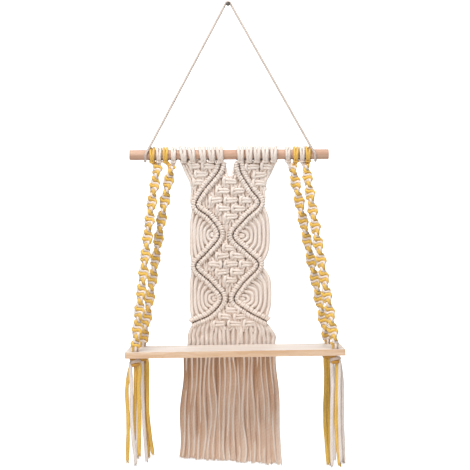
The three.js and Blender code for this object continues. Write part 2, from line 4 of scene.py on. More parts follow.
import bmesh
import bpy
import numpy as np
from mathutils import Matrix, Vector


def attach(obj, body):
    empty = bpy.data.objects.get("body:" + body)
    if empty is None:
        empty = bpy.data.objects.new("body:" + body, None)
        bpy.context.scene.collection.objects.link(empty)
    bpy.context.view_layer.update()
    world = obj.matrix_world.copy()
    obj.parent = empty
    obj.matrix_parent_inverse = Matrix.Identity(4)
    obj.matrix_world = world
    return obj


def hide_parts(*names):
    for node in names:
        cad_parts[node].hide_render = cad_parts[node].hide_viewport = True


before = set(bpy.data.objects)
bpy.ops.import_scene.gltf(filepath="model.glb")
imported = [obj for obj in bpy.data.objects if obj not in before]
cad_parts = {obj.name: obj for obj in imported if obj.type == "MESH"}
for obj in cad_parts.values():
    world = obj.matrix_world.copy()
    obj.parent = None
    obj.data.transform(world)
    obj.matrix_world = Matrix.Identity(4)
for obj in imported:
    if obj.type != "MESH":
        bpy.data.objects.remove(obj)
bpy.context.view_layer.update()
print("frame loaded")

# Sizes below are millimetres in the part's own frame: +X to the right, +Y into the wall, +Z up.
mm = 0.001


# Camera

camera = {"place": (10.5, -2273, -346.5), "lens": 115.4, "sensor": 36}


def buildCamera():
    # level, and square to the wall
    data = bpy.data.cameras.new("photoCamera")
    data.lens = camera["lens"]
    data.sensor_width = camera["sensor"]
    rig = bpy.data.objects.new("photoCamera", data)
    rig.location = Vector(camera["place"]) * mm
    rig.rotation_euler = (math.pi / 2, 0, 0)
    bpy.context.scene.collection.objects.link(rig)
    bpy.context.scene.camera = rig


buildCamera()
print("camera placed")


# Paths and tubes

def onPath(points, perPart=10):
    # centripetal Catmull-Rom through the points, the same curve as the part's source uses
    points = np.array(points, float)
    before = 2 * points[0] - points[1]
    after = 2 * points[-1] - points[-2]
    chain = np.vstack([before, points, after])
    t = np.linspace(0, 1, perPart, endpoint=False)[:, None]
    out = []
    for i in range(len(points) - 1):
        a, b, c, d = chain[i:i + 4]
        first = max(np.linalg.norm(b - a) ** 0.5, 1e-4)
        middle = max(np.linalg.norm(c - b) ** 0.5, 1e-4)
        last = max(np.linalg.norm(d - c) ** 0.5, 1e-4)
        slopeB = ((b - a) / first - (c - a) / (first + middle) + (c - b) / middle) * middle
        slopeC = ((c - b) / middle - (d - b) / (middle + last) + (d - c) / last) * middle
        out.append(b * (2 * t**3 - 3 * t**2 + 1) + slopeB * (t**3 - 2 * t**2 + t)
                   + c * (3 * t**2 - 2 * t**3) + slopeC * (t**3 - t**2))
    out.append(points[-1:])
    return np.vstack(out)


def evenly(path, spacing):
    # the same line with its points a set distance apart
    gaps = np.linalg.norm(np.diff(path, axis=0), axis=1)
    along = np.concatenate([[0], np.cumsum(gaps)])
    count = max(2, int(round(along[-1] / spacing)) + 1)
    wanted = np.linspace(0, along[-1], count)
    return np.stack([np.interp(wanted, along, path[:, k]) for k in range(3)], axis=1)


def unit(vectors):
    return vectors / np.maximum(np.linalg.norm(vectors, axis=-1, keepdims=True), 1e-9)


def carriedFrames(path, firstSide):
    # side directions that turn as little as they can along the path
    tangents = unit(np.gradient(path, axis=0))
    sides = np.empty_like(path)
    side = np.array(firstSide, float)
    for i, tangent in enumerate(tangents):
        side = side - tangent * side.dot(tangent)
        size = math.sqrt(side.dot(side))
        if size < 1e-6:
            side = np.cross(tangent, [0.3, 0.5, 0.8])
            size = math.sqrt(side.dot(side))
        side = side / size
        sides[i] = side
    return tangents, sides, np.cross(tangents, sides)


class Yarn:
    # gathers tubes of cord into one mesh, with each point's place on its cord and its painted shade kept for
    # the material
    def __init__(self):
        self.points, self.quads, self.tris, self.spots, self.dark = [], [], [], [], []
        self.count = 0

    def add(self, rings, closed, spots, dark):
        turns, sides = rings.shape[:2]
        base = self.count
        index = base + np.arange(turns * sides).reshape(turns, sides)
        lower = index if closed else index[:-1]
        upper = np.roll(index, -1, axis=0) if closed else index[1:]
        quads = np.stack([lower, np.roll(lower, -1, axis=1), np.roll(upper, -1, axis=1), upper], axis=-1)
        self.quads.append(quads.reshape(-1, 4))
        points = [rings.reshape(-1, 3)]
        places = [spots.reshape(-1, 3)]
        shades = [dark.reshape(-1)]
        self.count += turns * sides
        if not closed:
            for end, ring in ((0, index[0]), (-1, index[-1])):
                points.append(rings[end].mean(axis=0)[None])
                places.append(spots[end].mean(axis=0)[None])
                shades.append(dark[end].mean()[None])
                hub = np.full(sides, self.count)
                nextOne = np.roll(ring, -1)
                fan = (hub, nextOne, ring) if end == 0 else (hub, ring, nextOne)
                self.tris.append(np.stack(fan, axis=-1))
                self.count += 1
        self.points.append(np.vstack(points))
        self.spots.append(np.vstack(places))
        self.dark.append(np.concatenate(shades))

    def build(self, name, material, slotName, nodes):
        points = np.vstack(self.points) * mm
        quads = np.vstack(self.quads)
        tris = np.vstack(self.tris) if self.tris else np.zeros((0, 3), int)
        mesh = bpy.data.meshes.new(name)
        mesh.vertices.add(len(points))
        mesh.vertices.foreach_set("co", points.ravel())
        loops = np.concatenate([quads.ravel(), tris.ravel()])
        starts = np.concatenate([np.arange(len(quads)) * 4, len(quads) * 4 + np.arange(len(tris)) * 3])
        mesh.loops.add(len(loops))
        mesh.loops.foreach_set("vertex_index", loops)
        mesh.polygons.add(len(starts))
        mesh.polygons.foreach_set("loop_start", starts)
        mesh.update(calc_edges=True)
        mesh.polygons.foreach_set("use_smooth", np.ones(len(starts), bool))
        spots = mesh.attributes.new("cordSpot", "FLOAT_VECTOR", "POINT")
        spots.data.foreach_set("vector", np.vstack(self.spots).ravel())
        dark = mesh.attributes.new("paintedShade", "FLOAT", "POINT")
        dark.data.foreach_set("value", np.concatenate(self.dark))
        mesh.validate()
        piece = bpy.data.objects.new(name, mesh)
        bpy.context.scene.collection.objects.link(piece)
        mesh.materials.append(material)
        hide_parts(*nodes)
        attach(piece, "root")
        return piece


# Painted shade in crevices: a point with less cord around its probe than "clear" keeps its tone, and "full"
# gives it the whole depth of painted shade.
crevices = {
    "cell": 1.4,
    "margin": 12,
    "blur": 2,
    "probe": 2.3,
    "clear": 0.30,
    "full": 0.62,
    "depth": 0.7,
    "hitchDepth": 0.48,
    "fringeDepth": 0.3,
}


def boxBlur(grid, reach):
    # mean over a cube of cells, one axis after another
    for axis in range(3):
        padding = [(0, 0)] * 3
        padding[axis] = (reach + 1, reach)
        total = np.cumsum(np.pad(grid, padding), axis=axis, dtype=np.float32)
        size = grid.shape[axis]
        upper = np.take(total, range(2 * reach + 1, 2 * reach + 1 + size), axis=axis)
        grid = (upper - np.take(total, range(size), axis=axis)) / (2 * reach + 1)
    return grid


def paintedShadeDepth(name):
    if "hitches" in name:
        return crevices["hitchDepth"]
    if "fringe" in name:
        return crevices["fringeDepth"]
    return crevices["depth"]


def shadeCrevices(pieces):
    # painted shade: each point gets darker the more cord lies just in front of it
    points, normals = [], []
    for piece in pieces:
        count = len(piece.data.vertices)
        place = np.empty(count * 3, np.float32)
        piece.data.vertices.foreach_get("co", place)
        normal = np.empty(count * 3, np.float32)
        piece.data.vertex_normals.foreach_get("vector", normal)
        points.append(place.reshape(-1, 3) / mm)
        normals.append(normal.reshape(-1, 3))
    everything = np.vstack(points)
    low = everything.min(axis=0) - crevices["margin"]
    shape = np.ceil((everything.max(axis=0) + crevices["margin"] - low) / crevices["cell"]).astype(int)

    def cellsOf(places):
        return tuple(((places - low) / crevices["cell"]).astype(int).T)

    taken = np.zeros(shape, np.float32)
    taken[cellsOf(everything)] = 1
    near = boxBlur(taken, crevices["blur"])
    for piece, place, normal in zip(pieces, points, normals):
        density = near[cellsOf(place + normal * crevices["probe"])]
        share = np.clip((density - crevices["clear"]) / (crevices["full"] - crevices["clear"]), 0, 1)
        attribute = piece.data.attributes["paintedShade"].data
        known = np.empty(len(place), np.float32)
        attribute.foreach_get("value", known)
        attribute.foreach_set("value", np.maximum(known, share * paintedShadeDepth(piece.name)).astype(np.float32))


lobeMiddle = 1.27  # twice the mean of |cos|, so that lobes leave a cord's mean radius as it is
tipShares = (0.55, 0.88)  # how wide a cord's last two rings are


def layCord(yarn, path, radius, firstSide=(0, 1, 0), sides=12, lobes=0, lobeDepth=0.0, lay=14.0, flat=1.0,
            closed=False, tips=(True, True), start=0.0, swell=None, darkAt=None, roll=None):
    # one cord along a path. lay is the length of one turn of its twist, flat its depth over its width
    tangents, sideA, sideB = carriedFrames(path, firstSide)
    if closed:
        tangents = unit(np.roll(path, -1, axis=0) - np.roll(path, 1, axis=0))
        sideB = unit(np.cross(tangents, sideA))
        sideA = np.cross(sideB, tangents)
    if roll is not None:
        sideA, sideB = (sideA * np.cos(roll)[:, None] + sideB * np.sin(roll)[:, None],
                        sideB * np.cos(roll)[:, None] - sideA * np.sin(roll)[:, None])
    gaps = np.linalg.norm(np.diff(path, axis=0), axis=1)
    along = start + np.concatenate([[0], np.cumsum(gaps)])
    angle = 2 * math.pi * np.arange(sides) / sides
    turned = angle[None] - 2 * math.pi * along[:, None] / lay
    reach = radius * np.ones_like(turned)
    if lobes:
        reach = radius * (1 + lobeDepth * (np.abs(np.cos(lobes * turned / 2)) * 2 - lobeMiddle))
    if swell is not None:
        reach = reach * swell[:, None]
    for used, rows in ((tips[0], (0, 1)), (tips[1], (-1, -2))):
        if used and not closed:
            for row, share in zip(rows, tipShares):
                reach[row] *= share
    cosA = np.cos(angle)[None, :, None]
    sinA = np.sin(angle)[None, :, None] * flat
    rings = path[:, None] + reach[..., None] * (cosA * sideA[:, None] + sinA * sideB[:, None])
    spots = [np.broadcast_to(value, turned.shape) for value in (along[:, None], np.cos(angle), np.sin(angle))]
    # painted shade for each point, as darkAt gives it
    dark = darkAt(rings) if darkAt else np.zeros(turned.shape)
    yarn.add(rings, closed, np.stack(spots, axis=-1), dark)


def strand(yarn, dice, points, radius, step, perPart=8, startSpan=60, **looks):
    # a smooth cord through a few points, its twist begun anywhere
    line = evenly(onPath(points, perPart), step)
    layCord(yarn, line, radius, start=dice.uniform(0, startSpan), **looks)
    return line


def vary(dice, amount):
    return amount * dice.uniform(-1, 1)


def evenShade(amount):
    return lambda rings: np.full(rings.shape[:2], amount)


# Shader parts

def newMaterial(name):
    material = bpy.data.materials.new(name)
    material.use_nodes = True
    nodes = material.node_tree.nodes
    return material, nodes, material.node_tree.links, nodes["Principled BSDF"]


def newGroup(name, inputs):
    # a node group that gives a colour, a roughness and a height
    group = bpy.data.node_groups.new(name, "ShaderNodeTree")
    for label, value in inputs.items():
        kind = "NodeSocketColor" if isinstance(value, tuple) else "NodeSocketFloat"
        group.interface.new_socket(name=label, in_out="INPUT", socket_type=kind).default_value = value
    group.interface.new_socket(name="Colour", in_out="OUTPUT", socket_type="NodeSocketColor")
    for label in ("Roughness", "Height"):
        group.interface.new_socket(name=label, in_out="OUTPUT", socket_type="NodeSocketFloat")
    given = group.nodes.new("NodeGroupInput").outputs
    out = group.nodes.new("NodeGroupOutput").inputs
    return group, Wires(group), given, out


class Wires:
    # short ways to add nodes to one node tree
    def __init__(self, tree):
        self.nodes, self.links = tree.nodes, tree.links

    def put(self, socket, value):
        if isinstance(value, bpy.types.NodeSocket):
            self.links.new(value, socket)
        else:
            socket.default_value = value

    def math(self, operation, a, b=0.0, c=0.0):
        node = self.nodes.new("ShaderNodeMath")
        node.operation = operation
        for socket, value in zip(node.inputs, (a, b, c)):
            self.put(socket, value)
        return node.outputs[0]

    def times(self, a, b):
        return self.math("MULTIPLY", a, b)

    def plus(self, a, b):
        return self.math("ADD", a, b)

    def minus(self, a, b):
        return self.math("SUBTRACT", a, b)

    def combine(self, x, y, z):
        node = self.nodes.new("ShaderNodeCombineXYZ")
        for socket, value in zip(node.inputs, (x, y, z)):
            self.put(socket, value)
        return node.outputs[0]

    def split(self, vector):
        node = self.nodes.new("ShaderNodeSeparateXYZ")
        self.put(node.inputs[0], vector)
        return node.outputs

    def noise(self, vector, scale, detail=2.0, roughness=0.5):
        node = self.nodes.new("ShaderNodeTexNoise")
        self.put(node.inputs["Vector"], vector)
        self.put(node.inputs["Scale"], scale)
        self.put(node.inputs["Detail"], detail)
        self.put(node.inputs["Roughness"], roughness)
        return node.outputs["Fac"]

    def ranged(self, value, fromLow, fromHigh, toLow=0.0, toHigh=1.0):
        node = self.nodes.new("ShaderNodeMapRange")
        for socket, amount in zip(node.inputs, (value, fromLow, fromHigh, toLow, toHigh)):
            self.put(socket, amount)
        return node.outputs[0]

    def mix(self, factor, a, b, blend="MIX"):
        node = self.nodes.new("ShaderNodeMix")
        node.data_type = "RGBA"
        node.blend_type = blend
        self.put(node.inputs["Factor"], factor)
        self.put(node.inputs["A"], a)
        self.put(node.inputs["B"], b)
        return node.outputs["Result"]

    def attribute(self, name):
        node = self.nodes.new("ShaderNodeAttribute")
        node.attribute_name = name
        return node


def cottonGroup():
    # helical cotton fibres, soft blotches and painted shade in crevices, from a point's place on its cord and
    # its painted shade
    group, wires, given, out = newGroup("cottonFibre", {
        "Cord Colour": (0.85, 0.8, 0.74, 1),
        "Shade Colour": (0.5, 0.4, 0.32, 1),
        "Lay": 14.0,
        "Plies": 3.0,
        "Ply Depth": 0.5,
        "Fibre Depth": 0.5,
        "Blotch": 0.3,
    })
    along, cosA, sinA = wires.split(wires.attribute("cordSpot").outputs["Vector"])
    perMm = wires.math("DIVIDE", 2 * math.pi, given["Lay"])
    turned = wires.minus(wires.math("ARCTAN2", sinA, cosA), wires.times(along, perMm))
    ply = wires.math("SINE", wires.times(turned, given["Plies"]))
    circle = (wires.math("COSINE", turned), wires.math("SINE", turned))
    around = wires.combine(*circle, wires.times(along, 0.035))
    fibre = wires.noise(around, 9.0, 3.0, 0.65)
    fine = wires.noise(around, 26.0, 2.0, 0.6)
    strands = wires.plus(wires.times(fibre, 0.7), wires.times(fine, 0.3))
    place = group.nodes.new("ShaderNodeTexCoord").outputs["Object"]
    blotch = wires.noise(place, 38.0, 3.0, 0.55)
    paintedShade = wires.attribute("paintedShade").outputs["Fac"]
    halfPly = wires.times(given["Ply Depth"], 0.5)

    # between fibres and plies the shade colour shows as painted shade, in blotches as a random tone, and the
    # painted crevice shade goes nearly black
    sunk = wires.times(wires.minus(1.0, wires.ranged(strands, 0.32, 0.62)), given["Fibre Depth"])
    tone = wires.mix(sunk, given["Cord Colour"], given["Shade Colour"])
    patch = wires.times(wires.ranged(blotch, 0.45, 0.75), given["Blotch"])
    tone = wires.mix(patch, tone, given["Shade Colour"])
    groove = wires.times(wires.ranged(ply, -0.6, -1.0), halfPly)
    tone = wires.mix(groove, tone, given["Shade Colour"])
    paintedShadeTone = wires.mix(0.8, tone, given["Shade Colour"], "MULTIPLY")
    tone = wires.mix(wires.ranged(paintedShade, 0.0, 0.5), tone, paintedShadeTone)
    tone = wires.mix(wires.ranged(paintedShade, 0.4, 1.0), tone, (0.035, 0.022, 0.015, 1))
    wires.put(out["Colour"], tone)
    wires.put(out["Roughness"], wires.ranged(strands, 0.2, 0.8, 0.98, 0.82))
    relief = wires.times(strands, given["Fibre Depth"])
    wires.put(out["Height"], wires.math("MULTIPLY_ADD", ply, halfPly, relief))
    return group


def woodGroup():
    # long streaks of grain along X, with pores and a faint figure
    group, wires, given, out = newGroup("woodGrain", {
        "Light Colour": (0.8, 0.65, 0.5, 1),
        "Dark Colour": (0.6, 0.42, 0.28, 1),
        "Fineness": 1.0,
        "Contrast": 0.7,
    })
    x, y, z = wires.split(group.nodes.new("ShaderNodeTexCoord").outputs["Object"])
    drift = wires.noise(wires.combine(wires.times(x, 6.0), y, z), 3.0, 2.0)
    bent = wires.times(wires.minus(drift, 0.5), 0.012)
    across = wires.combine(wires.times(x, 0.05), wires.plus(y, bent), wires.plus(z, bent))
    streaks = wires.noise(across, wires.times(given["Fineness"], 260.0), 4.0, 0.6)
    broad = wires.noise(across, wires.times(given["Fineness"], 70.0), 2.0)
    speckle = wires.combine(wires.times(x, 0.12), y, z)
    pores = wires.noise(speckle, wires.times(given["Fineness"], 1300.0), 1.0)
    grain = wires.plus(wires.times(streaks, 0.55), wires.times(broad, 0.45))
    amount = wires.times(wires.ranged(grain, 0.38, 0.62), given["Contrast"])
    tone = wires.mix(amount, given["Light Colour"], given["Dark Colour"])
    pore = wires.times(wires.ranged(pores, 0.62, 0.75), 0.35)
    wires.put(out["Colour"], wires.mix(pore, tone, given["Dark Colour"]))
    wires.put(out["Roughness"], wires.ranged(grain, 0.3, 0.7, 0.52, 0.66))
    wires.put(out["Height"], wires.minus(wires.times(grain, 0.5), pore))
    return group


cottonFibre = cottonGroup()
woodGrain = woodGroup()

cottonInputs = ("Cord Colour", "Shade Colour", "Lay", "Ply Depth", "Fibre Depth", "Blotch")
cottons = {
    "naturalCotton": ((0.89, 0.82, 0.765, 1), (0.60, 0.44, 0.33, 1), 16.0, 0.35, 0.5, 0.22),
    # the fringe's own copy of the cotton, its warm brown shade colour made for the painted shadow under the
    # board
    "fringeCotton": ((0.95, 0.85, 0.77, 1), (0.66, 0.38, 0.19, 1), 16.0, 0.35, 0.5, 0.2),
    "yellowCotton": ((0.90, 0.59, 0.12, 1), (0.52, 0.24, 0.03, 1), 16.0, 0.35, 0.6, 0.25),
    "hangerCotton": ((0.72, 0.62, 0.56, 1), (0.40, 0.31, 0.26, 1), 11.0, 0.2, 0.6, 0.2),
}
woodInputs = ("Light Colour", "Dark Colour", "Fineness", "Contrast")
woods = {
    "dowelWood": ((0.66, 0.44, 0.32, 1), (0.46, 0.25, 0.17, 1), 1.2, 0.7),
    "boardWood": ((0.80, 0.73, 0.68, 1), (0.62, 0.46, 0.34, 1), 0.9, 0.5),
    "boardEdge": ((0.82, 0.63, 0.47, 1), (0.63, 0.37, 0.20, 1), 0.9, 0.8),
}


def finishedMaterial(name, group, inputs, values, bump, sheen):
    material, nodes, links, shader = newMaterial(name)
    finish = nodes.new("ShaderNodeGroup")
    finish.node_tree = group
    for label, value in zip(inputs, values):
        finish.inputs[label].default_value = value
    relief = nodes.new("ShaderNodeBump")
    relief.inputs["Distance"].default_value = bump
    relief.inputs["Strength"].default_value = 0.8
    links.new(finish.outputs["Height"], relief.inputs["Height"])
    links.new(relief.outputs["Normal"], shader.inputs["Normal"])
    links.new(finish.outputs["Colour"], shader.inputs["Base Color"])
    links.new(finish.outputs["Roughness"], shader.inputs["Roughness"])
    shader.inputs["Sheen Weight"].default_value = sheen
    shader.inputs["Sheen Roughness"].default_value = 0.6
    shader.inputs["Specular IOR Level"].default_value = 0.25
    return material


cotton = {name: finishedMaterial(name, cottonFibre, cottonInputs, values, bump=0.0006, sheen=0.25)
          for name, values in cottons.items()}
wood = {name: finishedMaterial(name, woodGrain, woodInputs, values, bump=0.0003, sheen=0.0)
        for name, values in woods.items()}
print("materials made")


# The rope that hangs the dowel from the nail

gap = 0.35  # air between a cord and what it lies on
nail = {"shank": 1.3, "head": 3.2, "thickness": 1.2, "length": 17, "sides": 32}
dowel = {
    "radius": 7.5,
    "length": 298.5,
    "middleX": 1.6,
    "y": -14,
    "z": -226,
    "tilt": math.radians(0.3),
    "edgeEase": 0.7,
    "uneven": 0.06,
    "rings": 12,
    "sides": 48,
}
hanger = {
    "radius": 1.75,
    "nailY": -11,
    "leftX": -123,
    "rightX": 130,
    "wrapPitch": 4.4,
    "wrapTurns": 0.62,
    "pointsPerTurn": 13,
    "lay": 11.0,
    "plyDepth": 0.13,
}
# Points of the rope round the nail, across and up as shares of the turn's radius.
nailTurn = ((-0.9, 0.5), (-0.45, 0.92), (0.45, 0.92), (0.9, 0.5))


def dowelZ(x):
    return dowel["z"] + (x - dowel["middleX"]) * math.tan(dowel["tilt"])


def hitchRoute(frontX, side):
    # from the dowel's front, down and round behind it
    radius = dowel["radius"] + gap + hanger["radius"]
    count = round(hanger["wrapTurns"] * hanger["pointsPerTurn"])
    route = []
    for i in range(count + 1):
        turn = i / hanger["pointsPerTurn"]
        angle = math.pi + 2 * math.pi * turn
        x = frontX + side * hanger["wrapPitch"] * turn
        route.append((x, dowel["y"] + radius * math.cos(angle), dowelZ(x) + radius * math.sin(angle)))
    return route


def ropeRoute():
    turn = nail["shank"] + gap + hanger["radius"]
    left = hitchRoute(hanger["leftX"], -1)
    right = hitchRoute(hanger["rightX"], 1)
    overNail = [(share * turn, hanger["nailY"], rise * turn) for share, rise in nailTurn]

    def straight(a, b):
        return [tuple(np.array(a) + t * (np.array(b) - np.array(a))) for t in (0.06, 0.3, 0.55, 0.8, 0.96)]

    return left[::-1] + straight(left[0], overNail[0]) + overNail + straight(overNail[-1], right[0]) + right


def buildRope():
    line = evenly(onPath(ropeRoute(), 12), 0.9)
    yarn = Yarn()
    layCord(yarn, line, hanger["radius"], firstSide=(1, 0, 0), sides=18, lobes=3,
            lobeDepth=hanger["plyDepth"], lay=hanger["lay"])
    rope = yarn.build("hanging_rope", cotton["hangerCotton"], "hanger_cord", ["hanging_cord"])


buildRope()
print("rope laid")


# Dowel, nail and board

def turnedPiece(name, profile, steps, direction, material, nodes):
    # a turned solid from (radius, height) pairs, both ends on its axis, then laid along a direction
    bm = bmesh.new()
    rings = []
    for radius, height in profile:
        if radius == 0:
            rings.append([bm.verts.new((0, 0, height * mm))])
            continue
        angles = [2 * math.pi * k / steps for k in range(steps)]
        rings.append([bm.verts.new((radius * mm * math.cos(a), radius * mm * math.sin(a), height * mm))
                      for a in angles])
    for low, high in zip(rings, rings[1:]):
        for k in range(steps):
            n = (k + 1) % steps
            if len(low) == 1:
                bm.faces.new((low[0], high[n], high[k]))
            elif len(high) == 1:
                bm.faces.new((low[k], low[n], high[0]))
            else:
                bm.faces.new((low[k], low[n], high[n], high[k]))
    bmesh.ops.recalc_face_normals(bm, faces=bm.faces)
    mesh = bpy.data.meshes.new(name)
    bm.to_mesh(mesh)
    bm.free()
    for face in mesh.polygons:
        face.use_smooth = True
    mesh.transform(Vector((0, 0, 1)).rotation_difference(Vector(direction)).to_matrix().to_4x4())
    piece = bpy.data.objects.new(name, mesh)
    bpy.context.scene.collection.objects.link(piece)
    mesh.materials.append(material)
    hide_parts(*nodes)
    return piece


def roundedEnd(radius, height, ease, direction):
    # points of an eased edge from the face's middle to the side, or back
    arc = [(radius - ease + ease * math.sin(a), height - direction * (ease - ease * math.cos(a)))
           for a in (0, 0.25, 0.55, 0.9, 1.2, math.pi / 2)]
    flatFace = [(0, height), (radius * 0.5, height)]
    return flatFace + arc


def buildDowel():
    half = dowel["length"] / 2
    lower = roundedEnd(dowel["radius"], -half, dowel["edgeEase"], -1)
    upper = roundedEnd(dowel["radius"], half, dowel["edgeEase"], 1)
    middle = []
    for k in range(1, dowel["rings"]):
        height = -half + dowel["length"] * k / dowel["rings"]
        middle.append((dowel["radius"] + dowel["uneven"] * math.sin(k * 1.7), height))
    along = (math.cos(dowel["tilt"]), 0, math.sin(dowel["tilt"]))
    rod = turnedPiece("dowel_rod", lower + middle + upper[::-1], dowel["sides"], along, wood["dowelWood"],
                      ["dowel"])
    rod.location = Vector((dowel["middleX"], dowel["y"], dowel["z"])) * mm
    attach(rod, "root")


def steelMaterial():
    material, nodes, links, shader = newMaterial("nailSteel")
    wires = Wires(material.node_tree)
    place = nodes.new("ShaderNodeTexCoord").outputs["Object"]
    blotch = wires.noise(place, 900.0, 3.0)
    links.new(wires.mix(blotch, (0.09, 0.08, 0.075, 1), (0.2, 0.18, 0.16, 1)), shader.inputs["Base Color"])
    links.new(wires.ranged(blotch, 0.3, 0.7, 0.35, 0.6), shader.inputs["Roughness"])
    relief = nodes.new("ShaderNodeBump")
    relief.inputs["Distance"].default_value = 0.0001
    links.new(blotch, relief.inputs["Height"])
    links.new(relief.outputs["Normal"], shader.inputs["Normal"])
    shader.inputs["Metallic"].default_value = 1.0
    return material


def buildNail():
    # from the wall's end of the shank to the middle of the head
    headBack = nail["length"] - nail["thickness"]
    tip = nail["length"]
    profile = [(0, 0), (nail["shank"] * 0.8, 0), (nail["shank"], 0.3), (nail["shank"], headBack - 0.5),
               (nail["shank"] + 0.3, headBack), (nail["head"] - 0.25, headBack),
               (nail["head"], headBack + 0.25), (nail["head"], tip - 0.4), (nail["head"] - 0.35, tip - 0.1),
               (nail["head"] * 0.5, tip), (0, tip)]
    pin = turnedPiece("nail", profile, nail["sides"], (0, -1, 0), steelMaterial(),
                      ["wall_nail"])
    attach(pin, "root")


board = {
    "edgeEase": 0.9,
    "easeSteps": 3,
    "weld": 0.02,
    "flatAngle": math.radians(1),
    "sharpAngle": math.radians(50),
    "smallFace": 2e-4,
    "faceNormal": 0.7,
}


def buildBoard():
    # the solid's own board with its edges eased, pale on top and tan on its sawn edges
    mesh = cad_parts["shelf_board"].data.copy()
    mesh.name = "board_wood"
    bm = bmesh.new()
    bm.from_mesh(mesh)
    bmesh.ops.remove_doubles(bm, verts=bm.verts, dist=board["weld"] * mm)
    bmesh.ops.dissolve_limit(bm, angle_limit=board["flatAngle"], verts=bm.verts, edges=bm.edges)
    sharp = [e for e in bm.edges if len(e.link_faces) == 2 and e.calc_face_angle() > board["sharpAngle"]]
    bmesh.ops.bevel(bm, geom=sharp, offset=board["edgeEase"] * mm, segments=board["easeSteps"], profile=0.5,
                    affect="EDGES", clamp_overlap=True)
    bm.to_mesh(mesh)
    bm.free()
    mesh.materials.clear()
    mesh.materials.append(wood["boardWood"])
    mesh.materials.append(wood["boardEdge"])
    for face in mesh.polygons:
        face.use_smooth = face.area < board["smallFace"]
        face.material_index = 1 if abs(face.normal.z) < board["faceNormal"] else 0
    piece = bpy.data.objects.new("board", mesh)
    bpy.context.scene.collection.objects.link(piece)
    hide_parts("shelf_board")
    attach(piece, "root")


buildDowel()
buildNail()
buildBoard()
print("dowel, nail and board made")


# The panel's waves of double hitches

panel = {"y": -15.5, "cord": 2.5, "loose": 2.8, "bottomZ": -514.1}
waves = {
    "left": [(-10, -237), (-13.5, -250), (-38.6, -282.5), (-47.9, -302.7), (-26.5, -321.5), (-12.5, -346.4),
             (-30.9, -372), (-48.5, -393.6), (-24.3, -419), (-8.6, -441.5), (-24.5, -464), (-54, -478.6)],
    "right": [(16.4, -239), (19.5, -253), (35.5, -279.5), (47.9, -298.5), (25.2, -322.8), (7.2, -348),
              (27.8, -370.8), (46.2, -390.8), (21.9, -420.2), (9.2, -443.5), (28.5, -460), (58.5, -476)],
}
turns = {"start": 1, "outer": (3, 7, 11), "inner": (5, 9)}  # rows of the tables where a wave turns

# Two bars lie "offset" to each side of a wave's line. Each is a core with turns of cord round it. A dark cord
# in the seam between them, and "gapDark" on the bars beside it, are painted shade.
hitches = {
    "offset": 4.3,
    "pitch": 3.55,
    "steps": 18,
    "cord": 1.9,
    "cordVary": 0.04,
    "reachX": 2.4,
    "reachY": 3.3,
    "sizeVary": 0.05,
    "forward": 1.0,
    "pairShift": 0.15,
    "lean": 0.16,
    "leanVary": 0.06,
    "leanReach": 1.6,
    "startStep": 15.0,
    "core": 2.3,
    "gapDark": 0.9,
    "gapReach": 1.2,
    "gapFade": 0.8,
    "seam": 1.6,
    "seamBack": 1.2,
    "seamFront": 0.2,
    "seamHidden": 0.25,
    "dash": 0.76,
    "dashVary": 0.2,
    "dashStep": 1.4,
}
perRow = 24
waveLines = {name: onPath([(x, panel["y"], z) for x, z in rows], perRow) for name, rows in waves.items()}
waveSides = {}
for name, line in waveLines.items():
    tangents = unit(np.gradient(line, axis=0))
    waveSides[name] = np.stack([tangents[:, 2], np.zeros(len(line)), -tangents[:, 0]], axis=1)


def outwards(name, offset):
    return offset if name == "left" else -offset


def besideWave(name, row, offset):
    # a point beside the dark line between a wave's two bars, at a row of its table
    at = row * perRow
    low = int(min(max(math.floor(at), 0), len(waveLines[name]) - 2))
    share = at - low
    line = waveLines[name]
    side = waveSides[name]
    outward = side[low] * (1 - share) + side[low + 1] * share
    return line[low] * (1 - share) + line[low + 1] * share + offset * outward


def waveGapX(name, z):
    # where the line between the bars is at a height
    line = waveLines[name]
    return np.interp(-z, -line[:, 2], line[:, 0])


def addHitches(yarn, name, offset, dice):
    # one bar: pairs of turns of cord round a straight core, each leaning a little
    middle = waveLines[name]
    line = evenly(middle + offset * waveSides[name], hitches["pitch"] / 2)
    inward = np.sign(offset)
    around = 2 * math.pi * np.arange(hitches["steps"]) / hitches["steps"]

    # painted shade on the points of the bar near the line between the bars
    def nearGap(rings):
        places = rings.reshape(-1, 3)
        away = np.min(np.linalg.norm(places[:, None, ::2] - middle[None, ::3, ::2], axis=2), axis=1)
        shade = np.clip((hitches["gapReach"] - away) / hitches["gapFade"], 0, 1) * hitches["gapDark"]
        return shade.reshape(rings.shape[:2])

    layCord(yarn, line, hitches["core"], sides=8, darkAt=nearGap)
    wraps = evenly(line, hitches["pitch"])
    for i, (centre, tangent) in enumerate(zip(wraps, unit(np.gradient(wraps, axis=0)))):
        side = np.array([tangent[2], 0, -tangent[0]])
        pair = hitches["pairShift"] * (1 if i % 2 == 0 else -1)
        size = 1 + vary(dice, hitches["sizeVary"])
        lean = hitches["lean"] * inward + vary(dice, hitches["leanVary"])
        loop = (centre + tangent * pair - np.array([0, hitches["forward"], 0])
                + np.outer(np.cos(around) * hitches["reachX"] * size, side)
                + np.outer(np.sin(around) * hitches["reachY"] * size, (0, 1, 0))
                + np.outer(np.cos(around) * lean * hitches["reachX"] * hitches["leanReach"], tangent))
        radius = hitches["cord"] * (1 + vary(dice, hitches["cordVary"]))
        layCord(yarn, loop, radius, firstSide=tangent, sides=10, closed=True, start=i * hitches["startStep"],
                darkAt=nearGap)


def seamShade(rings):
    # painted shade: dark dashes where the bars part, on the front only
    wave = np.sin(np.arange(len(rings)) * hitches["dashStep"])[:, None]
    dash = hitches["dash"] + hitches["dashVary"] * wave
    isFront = rings[..., 1] < panel["y"] + hitches["seamBack"] + hitches["seamFront"]
    return np.where(isFront, dash, hitches["seamHidden"])


def buildNatural(yarn, name):
    yarn.build(name, cotton["naturalCotton"], "natural_cord", ["macrame_panel"])


